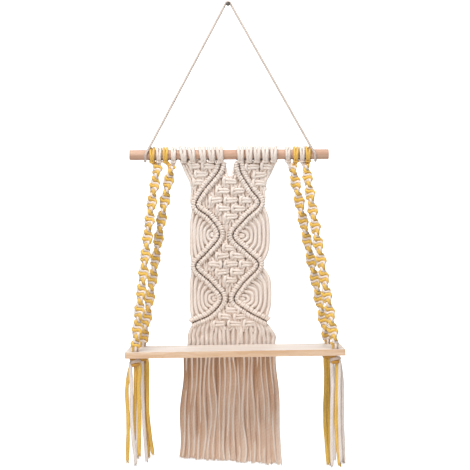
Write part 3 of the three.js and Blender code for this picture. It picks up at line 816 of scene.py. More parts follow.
def buildWaves():
    for name in ("left", "right"):
        dice = random.Random(41 if name == "left" else 42)
        yarn = Yarn()
        for offset in (hitches["offset"], -hitches["offset"]):
            addHitches(yarn, name, offset, dice)
        # a dark cord behind the line between the bars, painted shade in the seam
        behind = evenly(waveLines[name], 1.6) + np.array([0, hitches["seamBack"], 0])
        layCord(yarn, behind, hitches["seam"], sides=10, darkAt=seamShade)
        buildNatural(yarn, "hitches_" + name)


buildWaves()
print("hitches wound")


# Loops over the dowel, and the cords from them into the panel

headsX = {
    "left": (-66.9, -53.9, -37.8, -24.6, -12),
    "right": (18.7, 31.6, 43.4, 55.7, 68.5),
}
# Angles go round the dowel in degrees: 0 is its front and 90 its top.
head = {
    "pitch": 5.5,
    "cord": 2.6,
    "clearance": 0.8,
    "startAngle": -62,
    "endAngle": 240,
    "parts": 12,
    "spread": 0.45,
    "spreadSwing": 0.15,
    "jitter": 0.15,
    "lean": {"left": 1.6, "right": 0.4},
    "barDrop": 3.2,
    "barForward": 4.4,
    "barHalf": 4.6,
    "barRadius": 2.4,
    "threadY": -4.6,
    "threadRise": 0.2,
    "threadReach": 1.7,
    "threadRadius": 1.4,
    "threadDark": 0.85,
    "strandX": 2.3,
    "strandDrop": 2,
    "strandBack": 0.6,
}
# Points of the locking bar: across as shares of its half length, how far forward, and how far up.
barShape = ((-1, 0.0, 1.6), (-0.86, 0.5, 0.45), (-0.4, 1.1, -0.15), (0.4, 1.1, -0.15), (0.86, 0.5, 0.45),
            (1, 0.0, 1.6))
# Both sides of the open V below the middle of the dowel.
vCords = [
    [(-6.8, -237), (-4.6, -246), (-1.4, -258), (0, -268)],
    [(-11, -240), (-8.5, -250), (-6, -262), (-5, -270)],
    [(12.6, -236), (10, -246), (6.1, -258), (5, -268)],
    [(17, -240), (14, -250), (10.8, -262), (10, -270)],
]
web = {"cornerZ": -250, "narrowing": 0.97, "edgeX": 52, "edgeZ": -270, "edgeRow": 2.85, "strandX": 2.4,
       "turnX": 2.2, "bulge": 0.4, "back": 0.4}


def addHead(yarn, x, pitch, radius, dice, lean=0.0):
    # two strands over the dowel, drawn together below it, and the bar that locks them
    reach = dowel["radius"] + head["clearance"] + radius
    sweep = head["endAngle"] - head["startAngle"]
    for side in (-1, 1):
        path = []
        for i in range(head["parts"] + 1):
            angle = math.radians(head["startAngle"] + sweep * i / head["parts"])
            spread = head["spread"] + head["spreadSwing"] * math.sin(angle)
            px = x + side * pitch * spread - lean * math.sin(angle) + vary(dice, head["jitter"])
            path.append((px, dowel["y"] - reach * math.cos(angle), dowelZ(x) + reach * math.sin(angle)))
        strand(yarn, dice, path, radius, step=1.3, perPart=6, startSpan=40, firstSide=(1, 0, 0))
    lowZ = dowelZ(x) - dowel["radius"]
    half = head["barHalf"] * pitch / head["pitch"]
    bar = [(x + half * share, dowel["y"] - head["barForward"] - forward, lowZ - head["barDrop"] + rise)
           for share, forward, rise in barShape]
    strand(yarn, dice, bar, head["barRadius"], step=1.1, perPart=6, startSpan=40)

    # a thin dim cord along the dowel's lower front edge stands for the shade between loops
    reachX = half + head["threadReach"]
    thread = [(x + share * reachX, dowel["y"] + head["threadY"], lowZ + head["threadRise"])
              for share in (-1, 0, 1)]
    layCord(yarn, evenly(np.array(thread), 1.5), head["threadRadius"], sides=10,
            darkAt=evenShade(head["threadDark"]))


def buildHeads():
    yarn = Yarn()
    dice = random.Random(7)
    for name in ("left", "right"):
        fromEdge = headsX[name] if name == "left" else headsX[name][::-1]
        for order, x in enumerate(fromEdge):
            addHead(yarn, x, head["pitch"], head["cord"], dice, head["lean"][name])
            for side in (-1, 1):
                startZ = dowelZ(x) - dowel["radius"] - head["strandDrop"]
                start = np.array([x + side * head["strandX"], panel["y"] + head["strandBack"], startZ])
                if order == 0:
                    edge = math.copysign(web["edgeX"], x)
                    waist = np.array([edge + side * web["strandX"], panel["y"], web["edgeZ"]])
                    turn = besideWave(name, web["edgeRow"], outwards(name, hitches["offset"]))
                    turn = turn + np.array([side * web["turnX"], 0, 0])
                    route = [start, (start + waist) / 2 + np.array([web["bulge"] * side, 0, 0]), waist, turn]
                else:
                    endX = x * web["narrowing"] + side * web["strandX"]
                    end = np.array([endX, panel["y"] + web["back"], web["cornerZ"]])
                    route = [start, (start + end) / 2, end]
                strand(yarn, dice, route, panel["cord"], step=1.5, startSpan=40)
    for route in vCords:
        path = [(x, panel["y"] + web["back"], z) for x, z in route]
        strand(yarn, dice, path, panel["cord"], step=1.5, startSpan=40)
    buildNatural(yarn, "dowel_loops")


buildHeads()
print("loops tied")


# Square knots

knot = {
    "halfWidth": 9.2,
    "tall": 6.5,
    "cord": 2.6,
    "coreShare": 0.95,
    "pitch": 22.6,
    "relief": 0.85,
    "sink": 0.3,
    "widthVary": 0.05,
    "tallVary": 0.07,
    "leanVary": 0.13,
    "usualShare": 0.8,
}
# Each row of knots: its middle, its height and how many knots it has.
knotRows = [
    (-41.5, -243.5, 2), (-41, -255.5, 1), (-45, -267.5, 1),
    (47, -244.5, 2), (47, -256.5, 1), (46.5, -268.5, 1),
    (2, -266, 1), (3, -280.5, 2), (3.8, -294.5, 3), (3.8, -307, 2), (3.8, -319, 1),
    (1, -366, 1), (2.4, -377.5, 2), (3.9, -390, 3), (2, -401.8, 2), (3, -413.8, 1),
    (7.5, -459, 1), (6.5, -468.5, 2), (9.5, -479, 3),
]

# Each row is a point of a cord: across and up as shares of the knot's half width and half height, and
# how far it stands forward.
overCord = [(-1.15, 1.75, 0.4), (-0.95, 1.0, 1.2), (-0.6, 0.42, 2.8), (0, 0.32, 3.9), (0.5, 0.3, 3.4),
            (0.92, 0.26, 2.0), (1.04, 0, 1.2), (0.92, -0.26, 2.0), (0.5, -0.3, 3.2), (0, -0.3, 3.7),
            (-0.6, -0.42, 2.8), (-0.95, -1.0, 1.2), (-1.15, -1.75, 0.4)]
underCord = [(1.15, 1.75, 0.4), (0.95, 1.15, 1.0), (0.8, 0.6, -0.4), (0.5, 0.2, -1.8), (-0.3, 0.3, -2.2),
             (-0.62, 0.8, 1.6), (-0.84, 0.5, 4.4), (-0.92, 0, 5.2), (-0.84, -0.55, 4.4), (-0.6, -0.85, 1.2),
             (-0.2, -0.3, -2.2), (0.4, 0, -1.8), (0.8, -0.6, -0.4), (0.95, -1.15, 1.0), (1.15, -1.75, 0.4)]
coreCord = [(0.78, 1.8, 0.6), (0.3, 0.85, 1.6), (0.25, 0, 0.3), (0.3, -0.85, 1.6), (0.78, -1.8, 0.6)]

# Heights with the panel's left and right edge under the dowel.
panelEdges = [
    (-236, -66, 72), (-241, -59.5, 68.5), (-253, -56, 64), (-266, -54, 58.5), (-290, -54, 58),
]


def withinPanel(x, z):
    heights, left, right = np.array(panelEdges[::-1]).T
    inset = knot["cord"]
    return min(max(x, np.interp(z, heights, left) + inset), np.interp(z, heights, right) - inset)


def addKnot(yarn, x, z, flip, dice):
    # a cord that crosses in front, one that crosses behind, and the two cords they hold
    width = knot["halfWidth"] * (1 + vary(dice, knot["widthVary"]))
    tall = knot["tall"] * (1 + vary(dice, knot["tallVary"]))
    lean = vary(dice, knot["leanVary"])

    def placed(table, mirror, tilt):
        path = []
        for across, up, forward in table:
            px = mirror * across * width
            pz = up * tall
            py = panel["y"] - forward * knot["relief"] + knot["sink"]
            path.append((withinPanel(x + px, z + pz), py, z + pz + tilt * px))
        return path

    for table in (overCord, underCord):
        strand(yarn, dice, placed(table, flip, lean), knot["cord"], step=1.15, perPart=5, sides=10)
    for side in (-1, 1):
        core = placed(coreCord, side, 0)
        strand(yarn, dice, core, knot["cord"] * knot["coreShare"], step=1.6, perPart=5, sides=10)


def buildKnots():
    yarn = Yarn()
    dice = random.Random(19)
    for x, z, count in knotRows:
        for i in range(count):
            flip = 1 if dice.random() < knot["usualShare"] else -1
            addKnot(yarn, x + (i - (count - 1) / 2) * knot["pitch"], z, flip, dice)
    buildNatural(yarn, "square_knots")


# Cords that pass behind the knots, so that no daylight shows between them
backing = {
    "pitch": 5.0,
    "y": 1.6,
    "radius": 2.95,
    "inset": 3.4,
    "jitter": 0.4,
    "zStep": 1.5,
    "topZ": -258,
    "bottomZ": -482,
    "leftX": -52,
    "rightX": 60,
    "shortest": 6,
    "partLength": 8,
}
# The same in the two corners under the dowel, between the panel's edge and the wave.
corner = {
    "innerX": 16,
    "outerX": 62,
    "topZ": -238,
    "firstZ": -240,
    "lastZ": -300,
    "shortestZ": -246,
    "edgeTopX": 68,
    "edgeRise": 28,
    "overEdge": 1,
}


def buildBacking():
    yarn = Yarn()
    dice = random.Random(23)
    y = panel["y"] + backing["y"]
    heights = np.arange(backing["topZ"], backing["bottomZ"], -backing["zStep"])
    leftX = waveGapX("left", heights) + backing["inset"]
    rightX = waveGapX("right", heights) - backing["inset"]
    for x in np.arange(backing["leftX"], backing["rightX"], backing["pitch"]):
        inside = (leftX < x) & (x < rightX)
        edges = np.flatnonzero(np.diff(np.concatenate([[0], inside.astype(int), [0]])))
        for first, last in zip(edges[::2], edges[1::2]):
            top, bottom = heights[first], heights[last - 1]
            if top - bottom < backing["shortest"]:
                continue
            count = max(3, int((top - bottom) / backing["partLength"]))
            path = [(x + vary(dice, backing["jitter"]), y + vary(dice, backing["jitter"]), z)
                    for z in np.linspace(top, bottom, count)]
            strand(yarn, dice, path, backing["radius"], step=2.2, perPart=5, sides=10)
    for name, side in (("left", -1), ("right", 1)):
        for x in np.arange(corner["innerX"], corner["outerX"], backing["pitch"]):
            bottomZ = float(corner["topZ"])
            for z in np.arange(corner["firstZ"], corner["lastZ"], -backing["zStep"]):
                if side * waveGapX(name, z) + backing["inset"] > x:
                    break
                bottomZ = z
            widening = max(0, (bottomZ - web["edgeZ"]) / corner["edgeRise"])
            edge = web["edgeX"] + (corner["edgeTopX"] - web["edgeX"]) * widening
            if bottomZ > corner["shortestZ"] or x > edge + corner["overEdge"]:
                continue
            path = [(side * x, y, z) for z in np.linspace(corner["topZ"], bottomZ, 4)]
            strand(yarn, dice, path, backing["radius"], step=2.2, perPart=5, sides=10)
    buildNatural(yarn, "cords_behind")


buildKnots()
buildBacking()
print("knots tied")


# Bowed cords of the bays, the cords at the turns, and those down to the fringe

bays = [
    {"wave": "left", "bay": 0, "outerX": -54.8, "innerX": -25.5},
    {"wave": "left", "bay": 1, "outerX": -55, "innerX": -22.5},
    {"wave": "right", "bay": 0, "outerX": 60, "innerX": 23.5},
    {"wave": "right", "bay": 1, "outerX": 62.5, "innerX": 24.5},
]
bayCords = {"count": 7, "first": 0.057, "last": 0.914, "radius": 2.75, "forward": 0.6, "behind": 2.8,
            "jitterX": 0.35, "jitterY": 0.3}
# How far down a bowed cord each point is, and how much of the bow it has.
bowShape = ((0.08, 0.42), (0.22, 0.86), (0.5, 1), (0.78, 0.86), (0.92, 0.42))
fringe = {
    "cords": 20,
    "topX": (-62.5, 68),
    "bottomX": (-69, 77),
    "bottomZ": (-684, -694),
    "bottomVary": 1.5,
    "topZ": -514.4,
    "parts": 9,
    "halfWidth": 4.35,
    "flat": 0.62,
    "swell": 0.06,
    "sway": 1.1,
    "swayPerCord": 0.55,
    "swayPerPart": 0.9,
    "swayOwn": 0.55,
    "ownPerPart": 1.5,
    "depthSway": 0.8,
    "evenForward": 0.5,
    "oddBack": 0.7,
    "shingle": 0.35,
    "rollVary": 0.3,
    "edge": 1.5,
    "edgeForward": 2.1,
    "edgeLift": 0.5,
    "edgeAcross": 0.45,
    "edgeWander": 0.3,
    "edgeVary": 0.15,
    "shadeTop": 0.68,
    "shadeLow": 0.24,
    "shadeBack": 0.08,
    "shadeFall": 4.0,
    "shadeReach": 180,
    "shadeVary": 0.1,
    "behind": 3.0,
    "behindDark": 0.1,
    "frays": 18,
    "frayLength": 4,
}
lower = {
    "leftX": -58.4,
    "rightX": 68,
    "sway": 1.5,
    "radius": 3.0,
    "behind": 2.6,
    "dark": 0.3,
    "perSide": 10,
    "lastRow": 9.2,
    "fan": 0.85,
    "fanDrop": 13,
    "sideShares": (0.08, 0.2, 0.3),
    "sideCord": 0.9,
    "forward": 0.8,
    "forwardVary": 0.6,
    "depthVary": 0.8,
    "levels": (0.3, 0.6),
}


def fringeTopX(i):
    return fringe["topX"][0] + (fringe["topX"][1] - fringe["topX"][0]) * i / (fringe["cords"] - 1)


def lowerX(index):
    return lower["leftX"] + (lower["rightX"] - lower["leftX"]) * index / (fringe["cords"] - 1)


def buildBays():
    # two layers of bowed cords, the second behind the gaps of the first
    yarn = Yarn()
    dice = random.Random(5)
    for bay in bays:
        name = bay["wave"]
        offset = outwards(name, hitches["offset"])
        outer, inner = turns["outer"], turns["inner"][bay["bay"]]
        for half in range(2 * bayCords["count"] - 1):
            order = half / 2 / (bayCords["count"] - 1)
            share = bayCords["first"] + (bayCords["last"] - bayCords["first"]) * order
            top = outer[bay["bay"]]
            bottom = outer[bay["bay"] + 1]
            start = besideWave(name, top + (inner - top) * share, offset)
            end = besideWave(name, bottom + (inner - bottom) * share, offset)
            bowX = bay["outerX"] + (bay["innerX"] - bay["outerX"]) * order
            y = panel["y"] - bayCords["forward"] + bayCords["behind"] * (half % 2)
            path = [start]
            for height, full in bowShape:
                straightX = start[0] + (end[0] - start[0]) * height
                x = straightX + (bowX - straightX) * full + vary(dice, bayCords["jitterX"])
                path.append((x, y + vary(dice, bayCords["jitterY"]), start[2] + (end[2] - start[2]) * height))
            path.append(end)
            strand(yarn, dice, path, bayCords["radius"], step=1.4, sides=14)
    buildNatural(yarn, "bay_cords")


def buildLower():
    # short cords beside the waves' outer turns, then the loose cords down to the board and some behind them
    yarn = Yarn()
    dice = random.Random(6)
    lastTurn = turns["outer"][2]
    drop = lower["fanDrop"]
    for name in ("left", "right"):
        offset = outwards(name, -hitches["offset"])
        for k, bottom in enumerate(turns["inner"]):
            outer = turns["outer"][k]
            top = turns["start"] if k == 0 else turns["inner"][k - 1]
            for share in lower["sideShares"]:
                ends = [besideWave(name, outer + (row - outer) * share, offset) for row in (top, bottom)]
                layCord(yarn, evenly(np.array(ends), 1.5), panel["loose"] * lower["sideCord"],
                        start=dice.uniform(0, 60))
        for i in range(lower["perSide"]):
            row = lastTurn + (lower["lastRow"] - lastTurn) * i / (lower["perSide"] - 1)
            start = besideWave(name, row, offset)
            x = lowerX(i if name == "left" else fringe["cords"] - 1 - i)
            fanY = panel["y"] - lower["forward"] + vary(dice, lower["forwardVary"])
            path = [start, (start[0] + (x - start[0]) * lower["fan"], fanY, start[2] - drop)]
            for share in lower["levels"]:
                z = start[2] - drop + (panel["bottomZ"] - start[2] + drop) * share
                swayed = x + vary(dice, lower["sway"])
                path.append((swayed, panel["y"] + vary(dice, lower["depthVary"]), z))
            path.append((x, panel["y"], panel["bottomZ"]))
            strand(yarn, dice, path, lower["radius"], step=1.5, sides=14, tips=(True, False))
        for i in range(lower["perSide"] - (name == "right")):
            row = lastTurn + (lower["lastRow"] - lastTurn) * (i + 0.5) / (lower["perSide"] - 0.5)
            start = besideWave(name, row, offset) + np.array([0, lower["behind"], 0])
            x = lowerX(i + 0.5 if name == "left" else fringe["cords"] - 1.5 - i)
            y = panel["y"] + lower["behind"]
            path = [start, (start[0] + (x - start[0]) * lower["fan"], y, start[2] - drop),
                    (x, y, panel["bottomZ"])]
            # the cords behind get an even painted shade
            strand(yarn, dice, path, lower["radius"], step=2.0, sides=10, tips=(True, False),
                   darkAt=evenShade(lower["dark"]))
    buildNatural(yarn, "lower_cords")


frayed = {"cord": 0.62, "root": 4, "thinTo": 0.35, "inside": 0.85, "deep": 0.8, "spread": (0.2, 1.5),
          "down": (0.5, 1.0), "bend": 0.4}


def addFrayed(yarn, tip, tangent, radius, count, length, dice):
    # loose yarns that open out below a cord's cut end
    tangent = np.array(tangent) / np.linalg.norm(tangent)
    root = frayed["root"]
    for _ in range(count):
        angle = dice.uniform(0, 2 * math.pi)
        reach = radius * math.sqrt(dice.random()) * frayed["inside"]
        outward = np.array([math.cos(angle), math.sin(angle) * frayed["deep"], 0])
        top = tip + outward * reach - tangent * root
        spread = outward * dice.uniform(*frayed["spread"])
        down = length * dice.uniform(*frayed["down"])
        bend = top + tangent * (root + down * frayed["bend"]) + spread * frayed["bend"]
        path = np.array([top, bend, top + tangent * (root + down) + spread])
        line = evenly(onPath(path, 4), 2.4)
        layCord(yarn, line, frayed["cord"], sides=5, swell=np.linspace(1, frayed["thinTo"], len(line)),
                start=dice.uniform(0, 60))


def fringeShade(rings):
    # painted shadow of the board: deepest just under it, and faint at the back
    down = np.clip((fringe["topZ"] - rings[..., 2]) / fringe["shadeReach"], 0, 1)
    fade = np.exp(-down * fringe["shadeFall"])
    shade = fringe["shadeLow"] + (fringe["shadeTop"] - fringe["shadeLow"]) * fade
    front = rings[..., 1] < rings[..., 1].mean(axis=1, keepdims=True) + 0.5
    return np.where(front, shade, fringe["shadeBack"])


def addEdgeYarns(yarn, line, dice):
    # a ply that lies proud along a strand and catches the light
    count = len(line)

    def wander(least, most):
        return np.sin(np.linspace(0, dice.uniform(least, most), count) + dice.uniform(0, 6))

    across = fringe["halfWidth"] * (fringe["edgeAcross"] + fringe["edgeWander"] * wander(5, 9))
    forward = fringe["edgeForward"] + fringe["edgeLift"] * wander(6, 11)
    edge = line + np.stack([across, -forward, np.zeros(count)], axis=1)
    radius = fringe["edge"] * dice.uniform(1 - fringe["edgeVary"], 1 + fringe["edgeVary"])
    layCord(yarn, edge, radius, firstSide=(1, 0, 0), sides=8, tips=(False, True), start=dice.uniform(0, 60))


def fringeLine(i, phase, bottomX, bottomZ):
    # the middle of one strand, from behind the board down
    topX = fringeTopX(i)
    path = [(topX, panel["y"], fringe["topZ"])]
    for k in range(1, fringe["parts"]):
        down = k / fringe["parts"]
        sway = (fringe["sway"] * math.sin(i * fringe["swayPerCord"] + k * fringe["swayPerPart"])
                + fringe["swayOwn"] * math.sin(phase + k * fringe["ownPerPart"]))
        y = (panel["y"] - fringe["depthSway"] * math.cos(phase * 2 + k * fringe["swayPerPart"])
             + (fringe["oddBack"] if i % 2 else -fringe["evenForward"]))
        z = fringe["topZ"] + (bottomZ - fringe["topZ"]) * down
        path.append((topX + (bottomX - topX) * down + sway, y, z))
    path.append((bottomX, panel["y"], bottomZ + 5))
    return evenly(onPath(path, 8), 2.0)


def buildFringe():
    # flat brushed strands that overlap like shingles, and a second layer that closes the gaps
    yarn = Yarn()
    dice = random.Random(11)
    for i in range(fringe["cords"]):
        share = i / (fringe["cords"] - 1)
        bottomX, bottomZ = (fringe[key][0] + (fringe[key][1] - fringe[key][0]) * share
                            for key in ("bottomX", "bottomZ"))
        bottomZ += vary(dice, fringe["bottomVary"])
        phase = dice.uniform(0, 6.3)
        line = fringeLine(i, phase, bottomX, bottomZ)
        swell = 1 + fringe["swell"] * np.sin(np.linspace(0, 9, len(line)) + phase)
        own = vary(dice, fringe["shadeVary"])
        roll = fringe["shingle"] + fringe["rollVary"] * np.sin(np.linspace(0, 7, len(line)) + phase * 1.7)
        layCord(yarn, line, fringe["halfWidth"], firstSide=(1, 0, 0), sides=18, flat=fringe["flat"],
                swell=swell, tips=(False, False), roll=roll, start=dice.uniform(0, 60),
                darkAt=lambda rings: fringeShade(rings) + own)
        addEdgeYarns(yarn, line, dice)
        addFrayed(yarn, line[-1], line[-1] - line[-3], fringe["halfWidth"], fringe["frays"],
                  fringe["frayLength"], dice)
        if i:
            beforeX = np.interp(-line[:, 2], -lineBefore[:, 2], lineBefore[:, 0])
            behind = np.stack([(line[:, 0] + beforeX) / 2, line[:, 1] + fringe["behind"], line[:, 2]], axis=1)
            # the layer behind gets more painted shade
            layCord(yarn, behind[:-3], fringe["halfWidth"], firstSide=(1, 0, 0), sides=10,
                    flat=fringe["flat"], tips=(False, True),
                    darkAt=lambda rings: fringeShade(rings) + fringe["behindDark"])
        lineBefore = line
    yarn.build("fringe_cords", cotton["fringeCotton"], "natural_cord", ["panel_fringe"])


buildBays()
buildLower()
buildFringe()
print("bays and fringe hung")


# Arms: a spiral of half knots in one yellow and one white cord, and four plain cords through the board

boardPlace = {
    "middleX": 10.7,
    "backY": -22.5,
    "depth": 122,
    "topZ": -510.2,
    "thickness": 9,
    "tilt": math.radians(0.85),
    "holeInset": 12,
    "holeX": {"front": 142, "back": 137},
}
# Each arm's two loops on the dowel, its spiral's half turn and phase, and how far it starts to the right.
arms = {
    "front_left": {"pairs": ((-113.4, "yellow"), (-103.4, "white")),
                   "halfTurn": 28.5, "phase": 2.71, "lead": 3.3},
    "back_left": {"pairs": ((-93.6, "yellow"), (-81.5, "white")),
                  "halfTurn": 29.6, "phase": 0.72, "lead": 3.3},
    "back_right": {"pairs": ((89.6, "white"), (101.6, "yellow")),
                   "halfTurn": 29.6, "phase": 0.55, "lead": 0.6},
    "front_right": {"pairs": ((111, "white"), (119.7, "yellow")),
                    "halfTurn": 27.3, "phase": 1.14, "lead": 1.2},
}
spiral = {
    "yellow": 2.7,
    "white": 2.0,
    "wide": 5.8,
    "deep": 1.8,
    "looseVary": 0.05,
    "bob": 1.1,
    "knotPitch": 4.6,
    "perKnot": 9,
    "leadShare": 0.4,
    "topZ": -243,
    "headCord": 2.0,
    "pairPitch": 4.1,
    "plain": 1.9,
    "plainRise": 6,
}
armTop = {
    "strandX": 1.9,
    "strandForward": 2.5,
    "strandDrop": 2.5,
    "middleShare": 0.45,
    "middleX": 1.6,
    "middleForward": 4.2,
    "middleRise": 2.0,
    "middleLead": 0.6,
    "lastDown": 5,
    "lastX": 1.5,
    "lastLead": 0.9,
}
through = {
    "joinUp": 9,
    "joinReach": 1.2,
    "riseShare": 0.8,
    "bulgeRise": 5,
    "inRise": 0.5,
    "outRise": 0.2,
    "holeReach": 2.3,
}
# The four cords through the hole: colour, where round the bundle, and how far they bulge above the board.
throughCords = (("yellow", 0.3, 3.1), ("white", 1.87, 2.6), ("yellow", 3.44, 3.1), ("white", 5.01, 2.6))


def boardTopZ(x):
    return boardPlace["topZ"] + (x - boardPlace["middleX"]) * math.tan(boardPlace["tilt"])


def holePlace(name):
    row, side = name.split("_")
    x = boardPlace["middleX"] + (-1 if side == "left" else 1) * boardPlace["holeX"][row]
    inset = boardPlace["holeInset"]
    y = boardPlace["backY"] - (boardPlace["depth"] - inset if row == "front" else inset)
    return x, y


def addArmTop(yarns, arm, topX, start, axis, across, dice):
    # the two loops on the dowel and the cords from them into the first knot
    for x, colour in arm["pairs"]:
        addHead(yarns[colour], x, spiral["pairPitch"], spiral["headCord"], dice)
        for side in (-1, 1):
            first = np.array([x + side * armTop["strandX"], dowel["y"] - armTop["strandForward"],
                              dowelZ(x) - dowel["radius"] - armTop["strandDrop"]])
            middleX = x * (1 - armTop["middleShare"]) + topX * armTop["middleShare"]
            middle = np.array([middleX + side * armTop["middleX"] + arm["lead"] * armTop["middleLead"],
                               dowel["y"] - armTop["middleForward"], spiral["topZ"] + armTop["middleRise"]])
            last = (start + axis * armTop["lastDown"] + across * side * armTop["lastX"]
                    + np.array([arm["lead"] * armTop["lastLead"], 0, 0]))
            strand(yarns[colour], dice, [first, middle, last], spiral["plain"], step=1.5, perPart=6)


def addSpiral(yarns, arm, start, length, axis, across, dice):
    # half knots: two cords that swing round each other, in a plane that turns slowly down the arm
    knots = int(round(length / spiral["knotPitch"]))
    steps = knots * spiral["perKnot"]
    t = np.arange(steps + 1) / steps
    turn = np.pi * t * knots
    slow = math.pi * t * length / arm["halfTurn"] + arm["phase"]
    back = np.cross(axis, across)
    wide = across[None] * np.cos(slow)[:, None] + back[None] * np.sin(slow)[:, None]
    deep = np.cross(axis[None], wide)
    loose = 1 + spiral["looseVary"] * np.sin(turn * 0.37 + arm["phase"])
    lead = arm["lead"] * np.clip(1 - t / spiral["leadShare"], 0, 1) ** 2
    for colour, offset in (("yellow", 0.0), ("white", math.pi)):
        place = -turn + offset
        down = t * length - spiral["bob"] * np.sin(2 * place)
        line = (start[None] + down[:, None] * axis[None] + lead[:, None] * np.array([[1.0, 0, 0]])
                + (spiral["wide"] * loose * np.cos(place))[:, None] * wide
                + (spiral["deep"] * loose * np.sin(place))[:, None] * deep)
        layCord(yarns[colour], line, spiral[colour], firstSide=axis, start=dice.uniform(0, 60))


def buildArm(name):
    arm = arms[name]
    dice = random.Random(name)
    yarns = {"yellow": Yarn(), "white": Yarn()}
    holeX, holeY = holePlace(name)
    boardZ = boardTopZ(holeX)
    topX = sum(x for x, _ in arm["pairs"]) / 2
    start = np.array([topX, dowel["y"] - 4, spiral["topZ"]])
    end = np.array([holeX, holeY, boardZ + spiral["plainRise"]])
    axis = unit(end - start)
    length = float(np.linalg.norm(end - start))
    across = unit(np.array([1.0, 0, 0]) - axis * axis[0])
    addArmTop(yarns, arm, topX, start, axis, across, dice)
    addSpiral(yarns, arm, start, length, axis, across, dice)
    for colour, angle, bulge in throughCords:
        out = np.array([math.cos(angle), math.sin(angle), 0])
        path = [start + axis * (length - through["joinUp"]) + out * through["joinReach"],
                end + out * bulge * through["riseShare"]]
        levels = ((boardZ + through["bulgeRise"], bulge),
                  (boardZ + through["inRise"], through["holeReach"]),
                  (boardZ - boardPlace["thickness"] + through["outRise"], through["holeReach"]))
        path += [np.array([holeX, holeY, z]) + out * reach for z, reach in levels]
        strand(yarns[colour], dice, path, spiral["plain"], step=1.4, perPart=6)
    buildPair(yarns, "arm_" + name)


def buildPair(yarns, nodeName):
    yarns["yellow"].build(nodeName + "_yellow", cotton["yellowCotton"], "yellow_cord", [nodeName])
    yarns["white"].build(nodeName + "_white", cotton["naturalCotton"], "natural_cord", [nodeName])


# Each loose end: its colour, its depth, how far its shoulder, middle and tip are to the side of the
# hole, and the height of its tip.
tasselEnds = {
    "front_left": [("yellow", -2, -11.5, -9.8, -11, -671), ("white", -4, -5.1, -4.5, 1.4, -674.6),
                   ("yellow", 4, 0.3, -1.2, -2.2, -645), ("yellow", -1, 5.3, 6.7, 5.5, -661.7)],
    "back_left": [("yellow", -1, 7, 7.8, 14.6, -674.8), ("white", -3, -0.6, 1.6, 6, -684.7),
                  ("white", -1.5, -6, -8, -7, -680), ("yellow", 2, 3.4, 4.4, 8.6, -679)],
    "back_right": [("yellow", -3, -2.6, -3.5, 0.7, -689), ("yellow", 0.5, 1.1, 0.6, 3.2, -688),
                   ("white", 2, 6.5, 5.5, 6.5, -690), ("white", -1, 10, 10, 10.5, -683)],
    "front_right": [("white", -3, -3.9, -4.9, -4.3, -676.6), ("yellow", -1, 2.2, 0.6, 6.1, -676.6),
                    ("white", -3.5, 5.8, 5.6, 8.4, -671.6), ("white", 1, 10.2, 11, 12.7, -671.6)],
}
tassel = {
    "headRadius": 8.6,
    "headHeight": 12,
    "cord": 2.7,
    "flat": 0.85,
    "wrapCord": 2.8,
    "wrapSteps": 28,
    "knotDark": 0.34,
    "rootMost": 5,
    "shoulderDrop": 28,
    "middleShare": 0.6,
    "middleVary": 0.6,
    "tipRise": 3,
    "lobeDepth": 0.06,
    "lay": (60, 80),
    "frays": 12,
    "frayLength": 4,
}
# Turns of the knot: colour, slant, height as a share of the knot's, and reach as a share of its radius.
tasselWraps = (("yellow", -0.3, -0.24, 0.92), ("white", 0.4, -0.46, 1.0), ("yellow", -0.15, -0.72, 0.8))


def buildTassel(name):
    dice = random.Random("tassel " + name)
    yarns = {"yellow": Yarn(), "white": Yarn()}
    x, y = holePlace(name)
    topZ = boardTopZ(x) - boardPlace["thickness"] - gap
    tall = tassel["headHeight"]
    ball = tassel["headRadius"] - tassel["wrapCord"]
    around = np.linspace(0, 2 * math.pi, tassel["wrapSteps"], endpoint=False)
    for k, (colour, tilt, height, width) in enumerate(tasselWraps):
        reach = ball * width
        loop = np.stack([x + reach * np.cos(around), y + reach * np.sin(around),
                         topZ + height * tall + tilt * reach * np.cos(around + k)], axis=1)
        # the knot's turns get an even painted shade, the shadow under the board
        layCord(yarns[colour], loop, tassel["wrapCord"], firstSide=(0, 0, 1), closed=True, start=k * 30,
                darkAt=evenShade(tassel["knotDark"]))
    for colour, dy, shoulder, middle, tip, bottomZ in tasselEnds[name]:
        root = math.copysign(min(abs(shoulder), tassel["rootMost"]), shoulder)
        path = [(x + root * 0.5, y + dy * 0.3, topZ - 1.5),
                (x + root * 1.2, y + dy * 0.6, topZ - tall + 2),
                (x + shoulder, y + dy, topZ - tall - tassel["shoulderDrop"]),
                (x + middle + vary(dice, tassel["middleVary"]), y + dy,
                 topZ + (bottomZ - topZ) * tassel["middleShare"]),
                (x + tip, y + dy, bottomZ + tassel["tipRise"])]
        line = strand(yarns[colour], dice, path, tassel["cord"], step=2.0, perPart=10, firstSide=(1, 0, 0),
                      sides=14, flat=tassel["flat"], lobes=2, lobeDepth=tassel["lobeDepth"],
                      lay=dice.uniform(*tassel["lay"]))
        addFrayed(yarns[colour], line[-1], line[-1] - line[-3], tassel["cord"], tassel["frays"],
                  tassel["frayLength"], dice)
    buildPair(yarns, "tassel_" + name)


for name in arms:
    buildArm(name)
    buildTassel(name)
print("arms and tassels knotted")


# Backdrop and light

studio = {
    "frontY": -3200,
    "wallY": 3600,
    "floorZ": -1500,
    "width": 9000,
    "height": 5200,
    "bend": 900,
    "bendSteps": 9,
    "paper": (0.93, 0.93, 0.93, 1),
    "glow": 0.19,
}
# Each lamp: its place, what it points at, its size and its power.
lamps = {
    "keySoftbox": ((-900, -1700, 1150), (0, 0, -350), (900, 700), 31),
    "topSoftbox": ((100, -500, 1500), (0, -60, -400), (900, 500), 23),
    "frontFill": ((500, -2900, -200), (0, 0, -350), (2400, 1600), 9),
    "lowFill": ((300, -2300, -1000), (0, 0, -560), (1500, 500), 10.5),
    "backFill": ((-300, 2700, 200), (0, 0, -350), (2400, 2000), 22),
}


